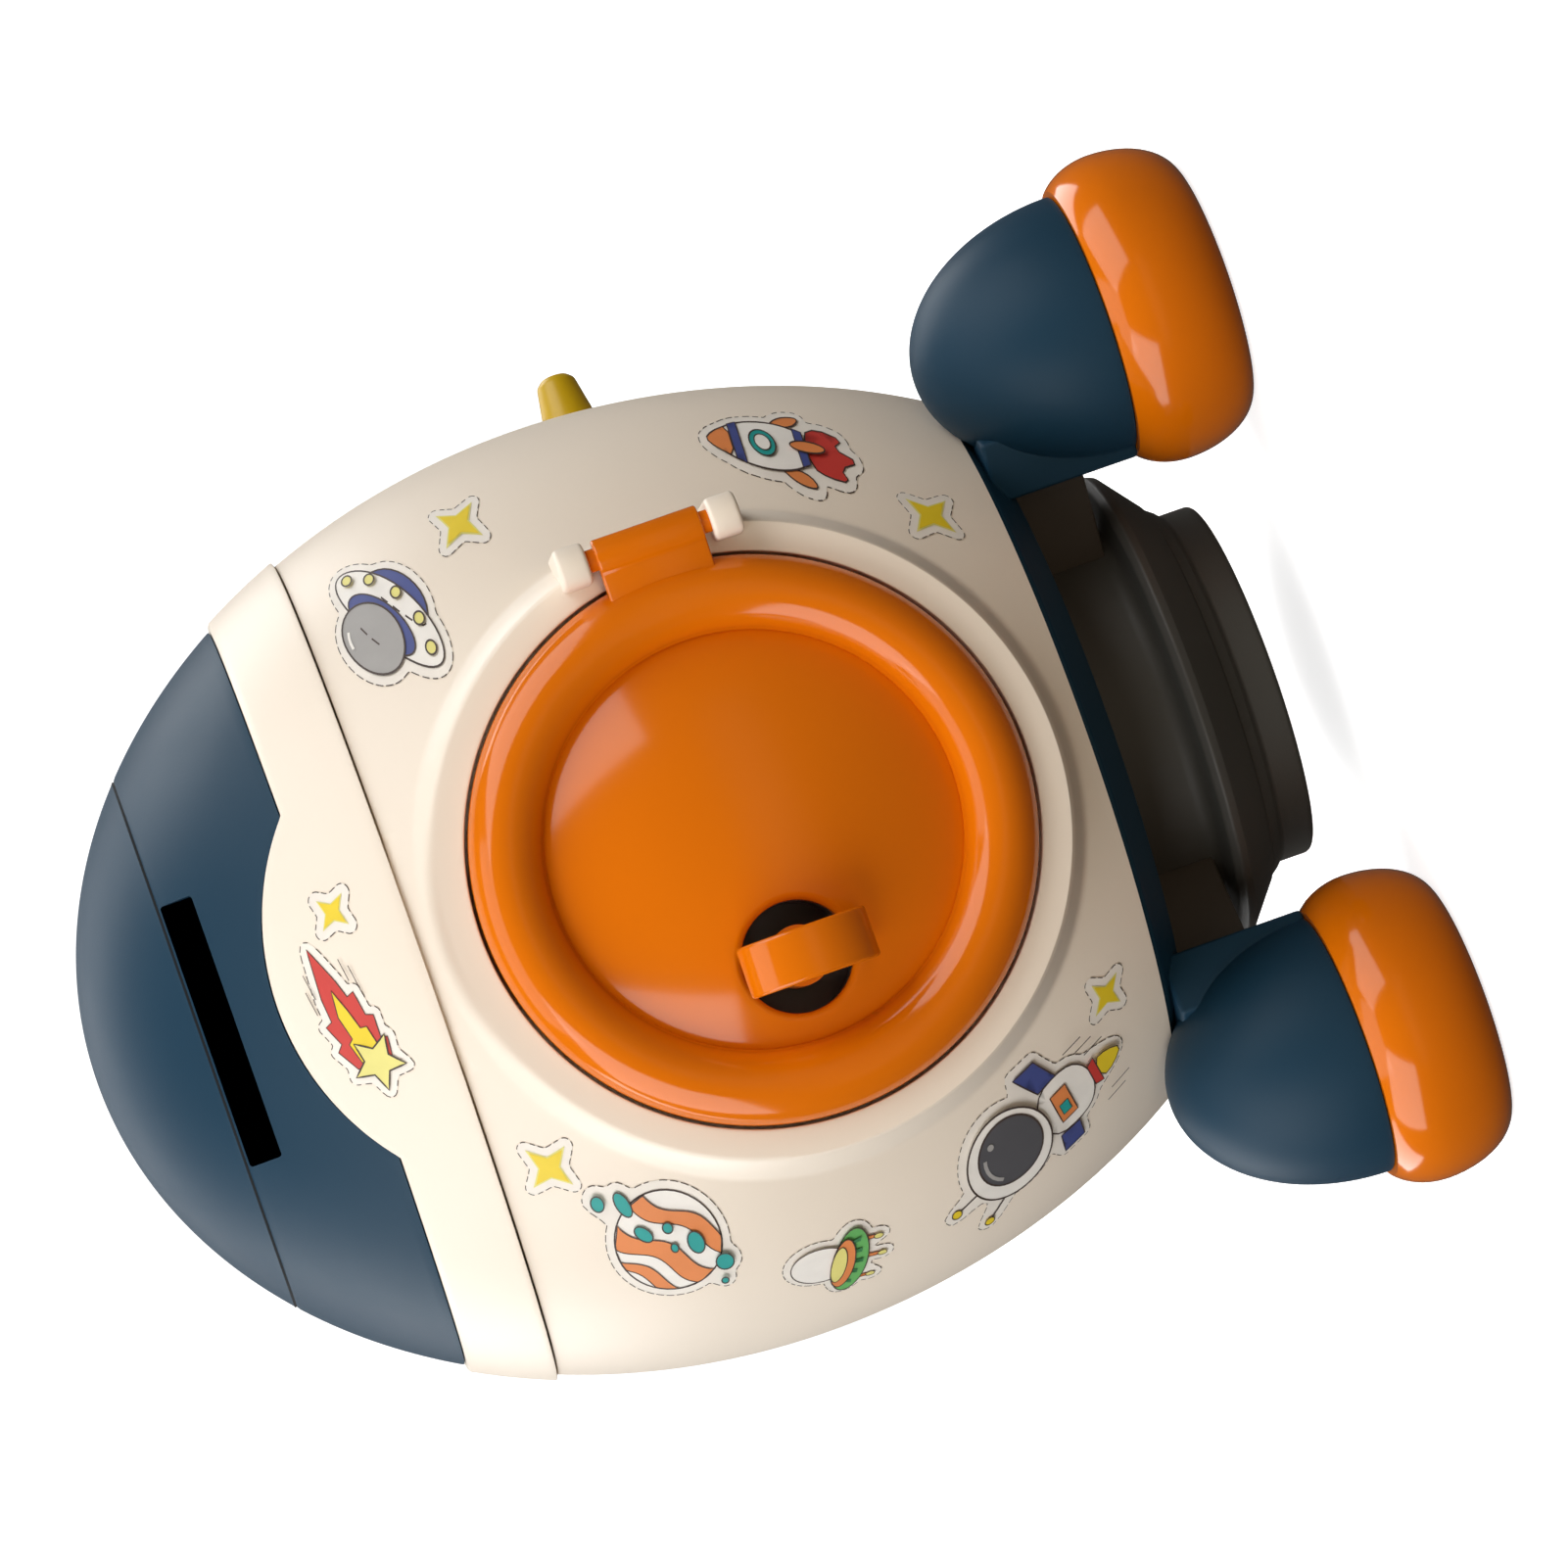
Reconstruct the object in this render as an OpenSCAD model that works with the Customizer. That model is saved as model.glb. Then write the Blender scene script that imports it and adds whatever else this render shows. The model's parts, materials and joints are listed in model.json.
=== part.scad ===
// Rocket-shaped toy coin bank on three legs.
// Millimetres, +Z up, the door faces -Y and its hinge is on the +X side.
// The origin is on the body's axis, at the height of the soles.

/* [Body] */
// Largest outer radius of the egg-shaped body
body_r = 75.5; // [66:0.5:92]
// Height of the body's widest place above the soles
widest_z = 108; // [104:0.5:130]
// Rise of the upper half-ellipse, from the widest place to the tip
nose_rise = 96; // [90:0.5:116]
// Depth of the lower half-ellipse, which the base cuts off
belly_drop = 100; // [92:0.5:120]
// Height of the body's bottom edge
floor_z = 45; // [40:0.5:50]
// Wall of the body, the nose and the collar's seat
wall = 2.4; // [2:0.1:3]

/* [Nose and collar] */
// Height of the nose cap, from its seam to the tip
cap_h = 18; // [15:0.5:22]
// Distance from the top of the door pad to the collar
collar_over_pad = 3.4; // [2.5:0.1:8]
// Height of the collar at the sides
collar_h = 13; // [10:0.5:16]
// How far the collar stands out from the body
collar_proud = 0.9; // [0.5:0.1:1.5]
// Half of the collar arch's width where it leaves the collar
arch_half_w = 27; // [22:0.5:32]
// Radius of the collar arch
arch_r = 41.5; // [36:0.5:50]
// Width of the coin slot
slot_w = 42; // [36:0.5:50]
// Height of the coin slot
slot_h = 5.1; // [4.6:0.1:6]

/* [Door] */
// Height of the door's centre
door_z = 98.8; // [97:0.2:106]
// Outer radius of the door
door_r = 42.8; // [38:0.2:44]
// Radius of the rim's rounded section
rim_r = 5.6; // [4.5:0.1:6]
// Rise of the dome inside the rim
dome_rise = 6.6; // [3:0.1:8]
// Width of the raised pad around the door
pad_w = 6; // [5:0.1:8]
// Wall of the door
door_wall = 2.2; // [1.8:0.1:2.6]
// Radial gap between the door and its well
door_gap = 0.5; // [0.4:0.05:0.8]
// Width of the ring that the closed door rests in front of
seat_w = 4.4; // [3.5:0.1:5.5]

/* [Hinge and latch] */
// Radius of the hinge pin
pin_r = 1.75; // [1.4:0.05:2]
// Half of the hinge leaf's height
leaf_half_h = 8.3; // [6:0.1:10]
// Length of each hinge ear
ear_h = 4.65; // [4:0.05:6]
// Distance of the latch from the door's centre
latch_offset = 18.7; // [17:0.1:20]
// Radius of the hole around the latch stem
latch_hole_r = 8.4; // [7:0.1:9.5]
// Radius of the latch stem
stem_r = 4.6; // [3.5:0.1:5]
// Width of the latch handle
handle_w = 7.9; // [6:0.1:9]
// Length of the latch handle
handle_l = 20.2; // [16:0.1:22]
// Reach of the latch cam past the edge of the door opening
cam_bite = 2.2; // [1.5:0.1:3]

/* [Legs and nozzle] */
// Distance of the legs from the body's bottom edge
leg_out = 9.8; // [8:0.2:12]
// Radius of a leg pod at its foot
pod_r = 20.7; // [18:0.1:24]
// Height of a leg pod
pod_h = 29; // [25:0.5:34]
// Height of a foot
foot_h = 20; // [17:0.5:22]
// How far a foot bulges out past the pod
foot_bulge = 4.1; // [3:0.1:6]
// Half of the width of the web that joins a pod to the base
web_half_w = 13; // [11:0.5:16]
// Outer radius of the nozzle's neck
neck_r = 32; // [29:0.5:34]
// Outer radius of the nozzle's shoulder
shoulder_r = 39; // [37:0.5:42]
// Outer radius of the nozzle's end ring
nozzle_end_r = 29.2; // [26:0.2:31]

/* [Side knob] */
// Height of the knob's axis
knob_z = 98; // [90:0.5:110]
// Angle of the knob behind the hinge side, degrees
knob_angle = 10; // [8:1:30]
// Radius of the knob at its root
knob_r = 4.7; // [3.5:0.1:6]
// Length of the knob outside the body
knob_l = 8.8; // [5:0.1:11]

/* [Hidden] */

$fn = 96;
cream = [0.90, 0.86, 0.80];
navy = [0.15, 0.24, 0.35];
orange = [0.86, 0.42, 0.03];
charcoal = [0.14, 0.14, 0.16];
taupe = [0.30, 0.27, 0.24];
yellow = [0.80, 0.66, 0.02];
steel = [0.62, 0.63, 0.65];

eps = 0.01;
far = 200;
band_steps = 14;
arc_steps = 14;

// Clearances
fit_gap = 0.15;      // fixed mouldings that slip into each other
run_gap = 0.05;      // shafts that turn in bores
seam_gap = 0.3;      // open seam under the collar
hinge_gap = 0.5;     // leaf barrel over the pad
touch_gap = 0.02;    // parts that are pressed or screwed together
cam_gap = 0.4;       // cam behind the door seat

// Screws
shank_r = 1.4;
pilot_r = shank_r + touch_gap;
free_r = shank_r + 0.3;
head_r = 2.9;
head_h = 1.8;
boss_r = 3.6;

// Body
tip_z = widest_z + nose_rise;
seam_z = tip_z - cap_h;
pad_r = door_r + pad_w;
collar_z = door_z + pad_r + collar_over_pad;
collar_top_z = collar_z + collar_h;
join_z = collar_z + 6;
collar_seat = 0.9;
ramp_t = 2;
ramp_fall = 10;
ramp_lip = 40;
flange_w = 6.4;
bottom_r = body_rad(floor_z, 0);
pad_edge_r = 2.5;
pad_front = body_rad(door_z + pad_r, 0) - 0.3;
pad_depth = 15;

// Door, in its own frame: +Z is outward from the pad's plane
well_r = door_r + door_gap;
rim_mid_r = door_r - rim_r;
dome_r = rim_mid_r - rim_r - 0.4;
dome_edge = 0.8;
dome_top = dome_edge + dome_rise;
dome_ball_r = (dome_r * dome_r + dome_rise * dome_rise) / (2 * dome_rise);
skirt = 4;
skirt_in_r = door_r - door_wall;
plate_t = 1.6;
seat_r = well_r - seat_w;
seat_z = -skirt - 0.6;
seat_t = 2.4;
seat_back = seat_z - seat_t;
door_screw_in = 5.2;
door_screw_at = [[8, dome_r - door_screw_in], [8, door_screw_in - dome_r], [dome_r - 4.2, 0]];

// Hinge
barrel_r = 2.9;
ear_r = 3.25;
hinge_x = door_r + ear_r + 1.05;
hinge_out = hinge_gap + barrel_r;
ear_from = leaf_half_h + 1.35;
hinge_z = door_z + 0.4;

// Latch
cup_r = latch_hole_r + 2;
cup_floor = 2;
cam_t = 2.2;
cam_front = seat_back - cam_gap;
cam_len = seat_r - latch_offset + cam_bite;
handle_from = dome_top + 0.3;
handle_rise = 8.6;
handle_low = 1.3;

// Legs and base
base_h = 5;
base_t = 2.4;
base_z = floor_z - base_h;
base_r = bottom_r - 1.4;
base_low_r = base_r - 7;
base_skirt_r = base_low_r - 8;
base_screw_r = base_low_r - 4;
head_sink = head_h + 0.2;
base_screw_at = [-22, 22, -115, 115];
leg_at = [-60, 60, 180];
leg_r = bottom_r + leg_out;
leg_wall = 2.2;
web_end = base_low_r;
web_out_half_w = web_half_w - 1;
leg_boss_r = 3;
leg_screw_r = web_end + leg_boss_r;
foot_mid_z = foot_h * 0.6;
foot_core_r = pod_r + foot_bulge - 7;
nozzle_wall = 2.2;
nozzle_z = 10.2;
nozzle_screw_r = neck_r - 5;
strut_half_w = 5;
strut_low_z = 28;

// Knob
knob_surface = body_rad(knob_z, 0);
knob_spindle_r = 2.5;
knob_boss_in = knob_surface - wall - 6;

// Radius of the body's outline at height z, drawn in by d
function half_height(z) = z < widest_z ? belly_drop : nose_rise;
function body_rad(z, d) =
    (body_r - d) * sqrt(max(0, 1 - pow((z - widest_z) / (half_height(z) - d), 2)));

// Angle on the outline at height z, and the outline's points between two heights
function outline_angle(z, d) = asin(min(1, (z - widest_z) / (half_height(z) - d)));
function outline_point(t, d) =
    [(body_r - d) * cos(t), widest_z + ((t < 0 ? belly_drop : nose_rise) - d) * sin(t)];
function outline(z0, z1, d, n = band_steps) =
    let (t0 = outline_angle(z0, d), t1 = outline_angle(z1, d))
    [for (i = [0:n]) outline_point(t0 + (t1 - t0) * i / n, d)];
function reversed(list) = [for (i = [len(list) - 1:-1:0]) list[i]];
function arc(r, from, to, x = 0, y = 0, n = arc_steps) =
    [for (i = [0:n]) let (t = from + (to - from) * i / n) [x + r * cos(t), y + r * sin(t)]];

// Height of the door's dome at radius r
function dome_at(r) = dome_top - dome_ball_r + sqrt(dome_ball_r * dome_ball_r - r * r);

// Ring of the body's outline between two heights and two depths
module band(z0, z1, d_out, d_in, n = band_steps)
    rotate_extrude()
        polygon(concat(outline(z0, z1, d_out, n), reversed(outline(z0, z1, d_in, n))));

// Solid of the body's outline between two heights
module form(z0, z1, d)
    rotate_extrude()
        polygon(concat([[0, z0]], outline(z0, z1, d), [[0, z1]]));

// Places children on the pad's plane, with +Z outward and +Y up
module on_pad()
    translate([0, -pad_front, door_z]) rotate([90, 0, 0]) children();

// Places children at the latch's axis
module on_latch()
    on_pad() translate([-latch_offset, 0, 0]) children();

// Places children drawn along -Y at angle a around the body
module around(a)
    rotate([0, 0, a]) children();

// Places children on the knob's axis, with +Z outward
module on_knob()
    rotate([0, 0, knob_angle]) translate([0, 0, knob_z]) rotate([0, 90, 0]) children();

// Screw with its head's seat at the origin and its shank along -Z
module screw(shank) {
    difference() {
        cylinder(r = head_r, h = head_h);
        translate([0, 0, head_h]) {
            cube([head_r * 1.3, 0.7, 1.6], center = true);
            cube([0.7, head_r * 1.3, 1.6], center = true);
        }
    }
    translate([0, 0, -shank]) cylinder(r = shank_r, h = shank);
}

// Half of space in front of the parting plane (side -1) or behind it (side 1)
module half(side)
    translate([-far / 2, side < 0 ? -far : 0, 0]) cube([far, far, far * 1.5]);

// Wall, bottom flange and seat for the collar, before it is split
module body_wall() {
    band(floor_z, collar_z, 0, wall, 2 * band_steps);
    band(collar_z - eps, join_z, collar_seat + fit_gap, wall, 3);
    translate([0, 0, floor_z]) difference() {
        cylinder(r = bottom_r - 0.5, h = wall);
        translate([0, 0, -1]) cylinder(r = bottom_r - flange_w, h = wall + 2);
    }
}

// Places of the screws that join the two body shells
shell_screw_z = [floor_z + 23, collar_z - 11];
function shell_screw_x(z) = body_rad(z, wall) - boss_r + 0.2;
module at_shell_screws()
    for (z = shell_screw_z, s = [-1, 1])
        translate([s * shell_screw_x(z), 0, z]) rotate([-90, 0, 0]) children();

// Blocks inside the bottom edge that the base is screwed to
lug_h = 9;
module lugs(angles)
    intersection() {
        for (a = angles)
            around(a) translate([-4.5, -bottom_r - 5, floor_z]) cube([9, 22, lug_h]);
        form(floor_z, floor_z + lug_h, wall / 2);
    }
// Room over the heads of the leg screws, inside the shells
module leg_screw_room()
    for (a = leg_at) around(a)
        translate([0, -leg_screw_r, floor_z - 1]) cylinder(r = head_r + 0.3, h = head_h + 1.5);
module lug_holes(angles)
    for (a = angles)
        around(a) translate([0, -base_screw_r, floor_z - 1]) cylinder(r = pilot_r, h = lug_h);

// Raised pad around the door, with the well that the door closes into
module pad_ring() {
    rotate_extrude() polygon(concat(
        [[well_r, 0]],
        arc(pad_edge_r, 90, 0, pad_r - pad_edge_r, -pad_edge_r, 6),
        [[pad_r, -pad_depth], [pad_r - wall, -pad_depth], [pad_r - wall, -3],
         [well_r + wall, -3], [well_r + wall, seat_back], [seat_r, seat_back],
         [seat_r, seat_z], [well_r, seat_z]]));
}

// Hinge ear between two heights over the hinge's middle
module ear(z0)
    translate([hinge_x, 0, hinge_z + z0]) {
        translate([0, -pad_front - hinge_out, 0]) cylinder(r = ear_r, h = ear_h, $fn = 48);
        translate([-ear_r, -pad_front - hinge_out, 0])
            cube([2 * ear_r, hinge_out + pad_depth - 2, ear_h]);
    }

module body_front_shell() color(cream) difference() {
    union() {
        difference() {
            union() {
                intersection() {
                    body_wall();
                    half(-1);
                }
                intersection() {
                    at_shell_screws() translate([0, 0, -12]) cylinder(r = boss_r, h = 12);
                    form(floor_z, collar_z, 0.6);
                }
            }
            on_pad() translate([0, 0, -pad_depth]) cylinder(r = pad_r - 1, h = 3 * pad_depth);
            on_pad() cylinder(r = pad_r + 0.3, h = 2 * pad_depth);
        }
        on_pad() pad_ring();
        ear(ear_from);
        ear(-ear_from - ear_h);
        lugs([base_screw_at[0], base_screw_at[1]]);
    }
    at_shell_screws() translate([0, 0, -11]) cylinder(r = pilot_r, h = 12);
    lug_holes([base_screw_at[0], base_screw_at[1]]);
    leg_screw_room();
    translate([hinge_x, -pad_front - hinge_out, hinge_z - ear_from - ear_h + 0.9])
        cylinder(r = pin_r + run_gap, h = 2 * (ear_from + ear_h - 0.9), $fn = 48);
}

module body_back_shell() color(cream) difference() {
    union() {
        intersection() {
            body_wall();
            half(1);
        }
        intersection() {
            at_shell_screws() cylinder(r = boss_r + 0.8, h = 40);
            form(floor_z, collar_z, 0.6);
        }
        intersection() {
            on_knob() translate([0, 0, knob_boss_in]) cylinder(r = knob_r + 0.8, h = 8);
            form(floor_z, collar_z, 0.6);
        }
        lugs([base_screw_at[2], base_screw_at[3]]);
    }
    at_shell_screws() {
        translate([0, 0, -1]) cylinder(r = free_r, h = 10);
        translate([0, 0, 8]) cylinder(r = head_r + 0.3, h = 40);
    }
    on_knob() translate([0, 0, knob_boss_in - 5])
        cylinder(r = knob_spindle_r + run_gap, h = 20, $fn = 48);
    lug_holes([base_screw_at[2], base_screw_at[3]]);
    leg_screw_room();
}

module shell_screws() color(steel)
    at_shell_screws() translate([0, 0, 8]) screw(18);

// Space of the collar, grown by gap
module collar_form(gap)
    intersection() {
        band(collar_z - 5, collar_top_z + arch_r / 2, -collar_proud - gap, collar_seat + gap);
        union() {
            cylinder(r = far, h = collar_top_z + gap);
            translate([0, 0, collar_top_z + arch_rise() - arch_r]) rotate([90, 0, 0])
                cylinder(r = arch_r + gap, h = far);
        }
    }
function arch_rise() = arch_r - sqrt(arch_r * arch_r - arch_half_w * arch_half_w);

module collar_band() color(cream) difference() {
    collar_form(0);
    cylinder(r = far, h = collar_z + seam_gap);
}

module nose_lower() color(navy) difference() {
    band(join_z, seam_z, 0, wall);
    collar_form(fit_gap);
    translate([-slot_w / 2, -body_r, seam_z - slot_h - 0.3]) cube([slot_w, body_r, slot_h]);
}

module nose_cap() color(navy) difference() {
    union() {
        rotate_extrude() polygon(concat(outline(seam_z, tip_z, 0),
            reversed(outline(seam_z, tip_z - wall, wall))));
        band(seam_z - 3, seam_z, wall + fit_gap, wall + 1.8, 2);
        band(seam_z - eps, seam_z + 2.5, wall - 0.2, wall + 1.8, 2);
    }
    translate([-slot_w / 2 - 2, -body_r, seam_z - 10]) cube([slot_w + 4, body_r, 10]);
}

module coin_ramp() color(navy) intersection() {
    translate([slot_w / 2 + 2, 0, seam_z - slot_h - 0.3 - fit_gap]) rotate([90, 0, -90])
        linear_extrude(slot_w + 4) polygon([[-8, -ramp_fall], [ramp_lip, 0], [body_r, 0],
            [body_r, -ramp_t], [ramp_lip, -ramp_t], [-8, -ramp_fall - ramp_t]]);
    form(join_z, seam_z - eps, wall + fit_gap);
}

module base_dish() color(navy) difference() {
    rotate_extrude() polygon([[0, floor_z], [0, floor_z - base_t],
        [base_skirt_r, floor_z - base_t], [base_skirt_r, base_z], [base_low_r, base_z],
        [base_r, floor_z - 0.6], [base_r, floor_z]]);
    for (a = base_screw_at) around(a) translate([0, -base_screw_r, 0]) {
        cylinder(r = free_r, h = far);
        cylinder(r = head_r + 0.2, h = base_z + head_sink);
    }
    for (a = leg_at) around(a) translate([0, -leg_screw_r, 0]) cylinder(r = free_r, h = far);
    for (a = leg_at) around(a) translate([0, -nozzle_screw_r, 0])
        cylinder(r = free_r, h = far);
}

module base_screws() color(steel)
    for (a = base_screw_at) around(a) translate([0, -base_screw_r, base_z + head_sink])
        rotate([180, 0, 0]) screw(base_h + lug_h - head_sink - 1.5);

// Underside of the body, grown by a hair, which the legs are cut to
module belly_form()
    rotate_extrude() polygon(concat([[0, base_z], [base_low_r, base_z],
        [base_r + touch_gap, floor_z - 0.6], [base_r + touch_gap, floor_z]],
        outline(floor_z, widest_z, -0.1), [[0, widest_z]]));

// Upper half of an ellipsoid of revolution
module pod_form(r, h)
    rotate_extrude() polygon(concat([[0, 0]],
        [for (i = [0:arc_steps]) let (t = 90 * i / arc_steps) [r * cos(t), h * sin(t)]]));

// A leg, drawn along -Y
module leg() difference() {
    union() {
        difference() {
            union() {
                translate([0, -leg_r, foot_h]) pod_form(pod_r, pod_h);
                translate([0, 0, foot_h]) linear_extrude(pod_h - 4) polygon([
                    [-web_half_w, -web_end], [web_half_w, -web_end],
                    [web_out_half_w, -leg_r + 8], [-web_out_half_w, -leg_r + 8]]);
            }
            translate([0, -leg_r, foot_h - eps]) pod_form(pod_r - leg_wall, pod_h - leg_wall);
            translate([0, 0, foot_h - 1]) linear_extrude(base_z - foot_h + 1 - leg_wall)
                polygon([[-web_half_w + leg_wall, -web_end - leg_wall],
                    [web_half_w - leg_wall, -web_end - leg_wall],
                    [web_out_half_w - leg_wall, -leg_r + 7],
                    [-web_out_half_w + leg_wall, -leg_r + 7]]);
        }
        translate([0, -leg_r, foot_h]) cylinder(r = boss_r, h = pod_h - 1.2);
        translate([0, -leg_screw_r, base_z - 13]) cylinder(r = leg_boss_r, h = 13);
    }
    belly_form();
    translate([0, -leg_r, foot_h - 1]) cylinder(r = pilot_r, h = 18);
    translate([0, -leg_screw_r, base_z - 10]) cylinder(r = pilot_r, h = 20);
}

module leg_left() color(navy) around(leg_at[0]) leg();
module leg_right() color(navy) around(leg_at[1]) leg();
module leg_rear() color(navy) around(leg_at[2]) leg();

// A strut between a leg's web and the nozzle's neck
module strut() difference() {
    translate([-strut_half_w, -web_end, strut_low_z])
        cube([2 * strut_half_w, web_end - neck_r + 2, base_z - strut_low_z]);
    cylinder(r = neck_r + touch_gap, h = far);
    translate([0, -leg_r, foot_h]) pod_form(pod_r + touch_gap, pod_h + touch_gap);
}

module strut_left() color(taupe) around(leg_at[0]) strut();
module strut_right() color(taupe) around(leg_at[1]) strut();
module strut_rear() color(taupe) around(leg_at[2]) strut();

// Half-outline of a foot, drawn in by d
function foot_outline(d) =
    [for (i = [-arc_steps:arc_steps]) let (t = 90 * i / arc_steps)
        if (foot_mid_z + (foot_h * 0.475 - d) * sin(t) < foot_h)
        [foot_core_r + (7 - d) * cos(t),
         foot_mid_z + ((t < 0 ? foot_mid_z : foot_h * 0.475) - d) * sin(t)]];
sole_t = 2.4;
sole_recess = 6;
spigot_h = 3;

module foot() translate([0, -leg_r, 0]) difference() {
    union() {
        intersection() {
            rotate_extrude() polygon(concat([[0, 0]], foot_outline(0), [[0, foot_h + 1]]));
            cylinder(r = far, h = foot_h);
        }
        cylinder(r = pod_r - leg_wall - fit_gap, h = foot_h + spigot_h);
    }
    rotate_extrude() polygon(concat([[boss_r + 1.6, sole_t]], foot_outline(sole_t),
        [[pod_r - leg_wall - 2.6, foot_h - 3], [pod_r - leg_wall - 2.6, foot_h + 9],
         [0, foot_h + 9], [0, foot_h], [boss_r + 1.6, foot_h]]));
    translate([0, 0, -1]) cylinder(r = head_r + 0.4, h = sole_recess + 1);
    cylinder(r = free_r, h = far);
}

module foot_left() color(orange) around(leg_at[0]) foot();
module foot_right() color(orange) around(leg_at[1]) foot();
module foot_rear() color(orange) around(leg_at[2]) foot();

module leg_screws() color(steel)
    for (a = leg_at) around(a) translate([0, -leg_screw_r, floor_z]) screw(base_h + 9);

module foot_screws() color(steel)
    for (a = leg_at) around(a) translate([0, -leg_r, sole_recess]) rotate([180, 0, 0])
        screw(foot_h - sole_recess + 15);

// Wall of the nozzle, with three bosses under the base
module nozzle() color(charcoal) difference() {
    union() {
        rotate_extrude() polygon([
            [neck_r, floor_z - base_t], [neck_r, 28.6], [neck_r + 0.6, 27.4], [neck_r + 2, 26.8],
            [shoulder_r - 1, 26.2], [shoulder_r, 25.2], [shoulder_r - 0.3, 24],
            [nozzle_end_r + 1, 16.4],
            [nozzle_end_r, 15.4], [nozzle_end_r, nozzle_z],
            [nozzle_end_r - nozzle_wall, nozzle_z], [nozzle_end_r - nozzle_wall, 16.2],
            [shoulder_r - 3.3, 24.2], [neck_r - nozzle_wall, 25.6],
            [neck_r - nozzle_wall, floor_z - base_t]]);
        for (a = leg_at) around(a)
            translate([0, -nozzle_screw_r, 28]) cylinder(r = boss_r - 0.4, h = floor_z - base_t - 28);
    }
    for (a = leg_at) around(a) translate([0, -nozzle_screw_r, 29])
        cylinder(r = pilot_r, h = far);
}

module nozzle_cover() color(charcoal)
    translate([0, 0, nozzle_z + 1.2])
        cylinder(r = nozzle_end_r - nozzle_wall - touch_gap, h = 2);

module nozzle_screws() color(steel)
    for (a = leg_at) around(a) translate([0, -nozzle_screw_r, floor_z]) screw(base_t + 10);

module door_panel() color(orange) on_pad() difference() {
    union() {
        rotate_extrude() polygon(concat(
            [for (i = [0:arc_steps]) let (r = dome_r * i / arc_steps) [r, dome_at(r)]],
            arc(rim_r, 172, 0, rim_mid_r, 0, 2 * arc_steps),
            [[door_r, -skirt], [skirt_in_r, -skirt]],
            arc(rim_r - door_wall, 0, 172, rim_mid_r, 0),
            [[dome_r + door_wall, -door_wall], [dome_r, dome_edge - door_wall]],
            [for (i = [arc_steps:-1:0]) let (r = dome_r * i / arc_steps)
                [r, dome_at(r) - door_wall]]));
        for (p = door_screw_at) translate([p[0], p[1], -skirt + plate_t + 0.1])
            cylinder(r = boss_r - 0.4, h = dome_at(norm(p) + boss_r) - 0.6 + skirt - plate_t);
    }
    translate([-latch_offset, 0, -skirt]) cylinder(r = latch_hole_r, h = 4 * skirt);
    for (p = door_screw_at) translate([p[0], p[1], -skirt]) cylinder(r = pilot_r, h = 6);
    translate([rim_mid_r + 0.4, hinge_z - door_z - leaf_half_h - fit_gap, leaf_back - fit_gap])
        cube([rim_r + 1, 2 * (leaf_half_h + fit_gap), leaf_t + 2 * fit_gap]);
}

module door_back_plate() color(orange) on_pad() difference() {
    translate([0, 0, -skirt]) cylinder(r = skirt_in_r - fit_gap, h = plate_t);
    translate([-latch_offset, 0, -2 * skirt]) cylinder(r = cup_r + fit_gap, h = 3 * skirt);
    for (p = door_screw_at) translate([p[0], p[1], -2 * skirt])
        cylinder(r = free_r, h = 3 * skirt);
}

leaf_back = 0.5;
leaf_t = 2.9;
module hinge_leaf() color(orange) on_pad()
    translate([0, hinge_z - door_z - leaf_half_h, 0]) difference() {
        union() {
            translate([rim_mid_r + 0.6, 0, leaf_back])
                cube([hinge_x - rim_mid_r - 0.6, 2 * leaf_half_h, leaf_t]);
            translate([hinge_x, 0, hinge_out]) rotate([-90, 0, 0])
                cylinder(r = barrel_r, h = 2 * leaf_half_h, $fn = 48);
        }
        translate([hinge_x, -1, hinge_out]) rotate([-90, 0, 0])
            cylinder(r = pin_r + touch_gap, h = 2 * leaf_half_h + 2, $fn = 48);
    }

module hinge_pin() color(orange)
    translate([hinge_x, -pad_front - hinge_out, hinge_z - ear_from - ear_h + 1.1])
        cylinder(r = pin_r, h = 2 * (ear_from + ear_h - 1.1), $fn = 48);

module door_screws() color(steel) on_pad()
    for (p = door_screw_at) translate([p[0], p[1], -skirt]) rotate([180, 0, 0]) screw(5.4);

module latch_cup() color(charcoal) intersection() {
    on_latch() difference() {
        translate([0, 0, seat_back]) cylinder(r = cup_r, h = dome_top - seat_back);
        translate([0, 0, seat_back + cup_floor]) cylinder(r = latch_hole_r, h = 20);
        translate([0, 0, seat_back - 1]) cylinder(r = stem_r + run_gap, h = 20, $fn = 48);
    }
    on_pad() translate([0, 0, dome_top - dome_ball_r])
        sphere(r = dome_ball_r - door_wall - fit_gap, $fn = 200);
}

module latch_handle() color(orange) on_latch() difference() {
    union() {
        translate([-handle_w / 2, -handle_low, handle_from]) rotate([90, 0, 90])
            linear_extrude(handle_w) polygon(concat([[-handle_l / 2, 0]],
                reversed([for (i = [0:arc_steps]) let (t = 180 * i / arc_steps)
                    [handle_l / 2 * cos(t), 1.6 + (handle_rise - 1.6) * sin(t)]]),
                [[handle_l / 2, 0]]));
        translate([0, 0, cam_front]) cylinder(r = stem_r, h = handle_from - cam_front + 1, $fn = 48);
    }
    translate([0, 0, cam_front - 1]) cylinder(r = pilot_r, h = 11);
}

module latch_cam() color(charcoal) on_latch() translate([0, 0, cam_front - cam_t])
    difference() {
        union() {
            cylinder(r = stem_r + 0.9, h = cam_t, $fn = 48);
            translate([-3.5, -cam_len, 0]) cube([7, cam_len, cam_t]);
        }
        translate([0, 0, -1]) cylinder(r = free_r, h = cam_t + 2);
    }

module latch_screw() color(steel) on_latch()
    translate([0, 0, cam_front - cam_t]) rotate([180, 0, 0]) screw(cam_t + 9);

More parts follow.
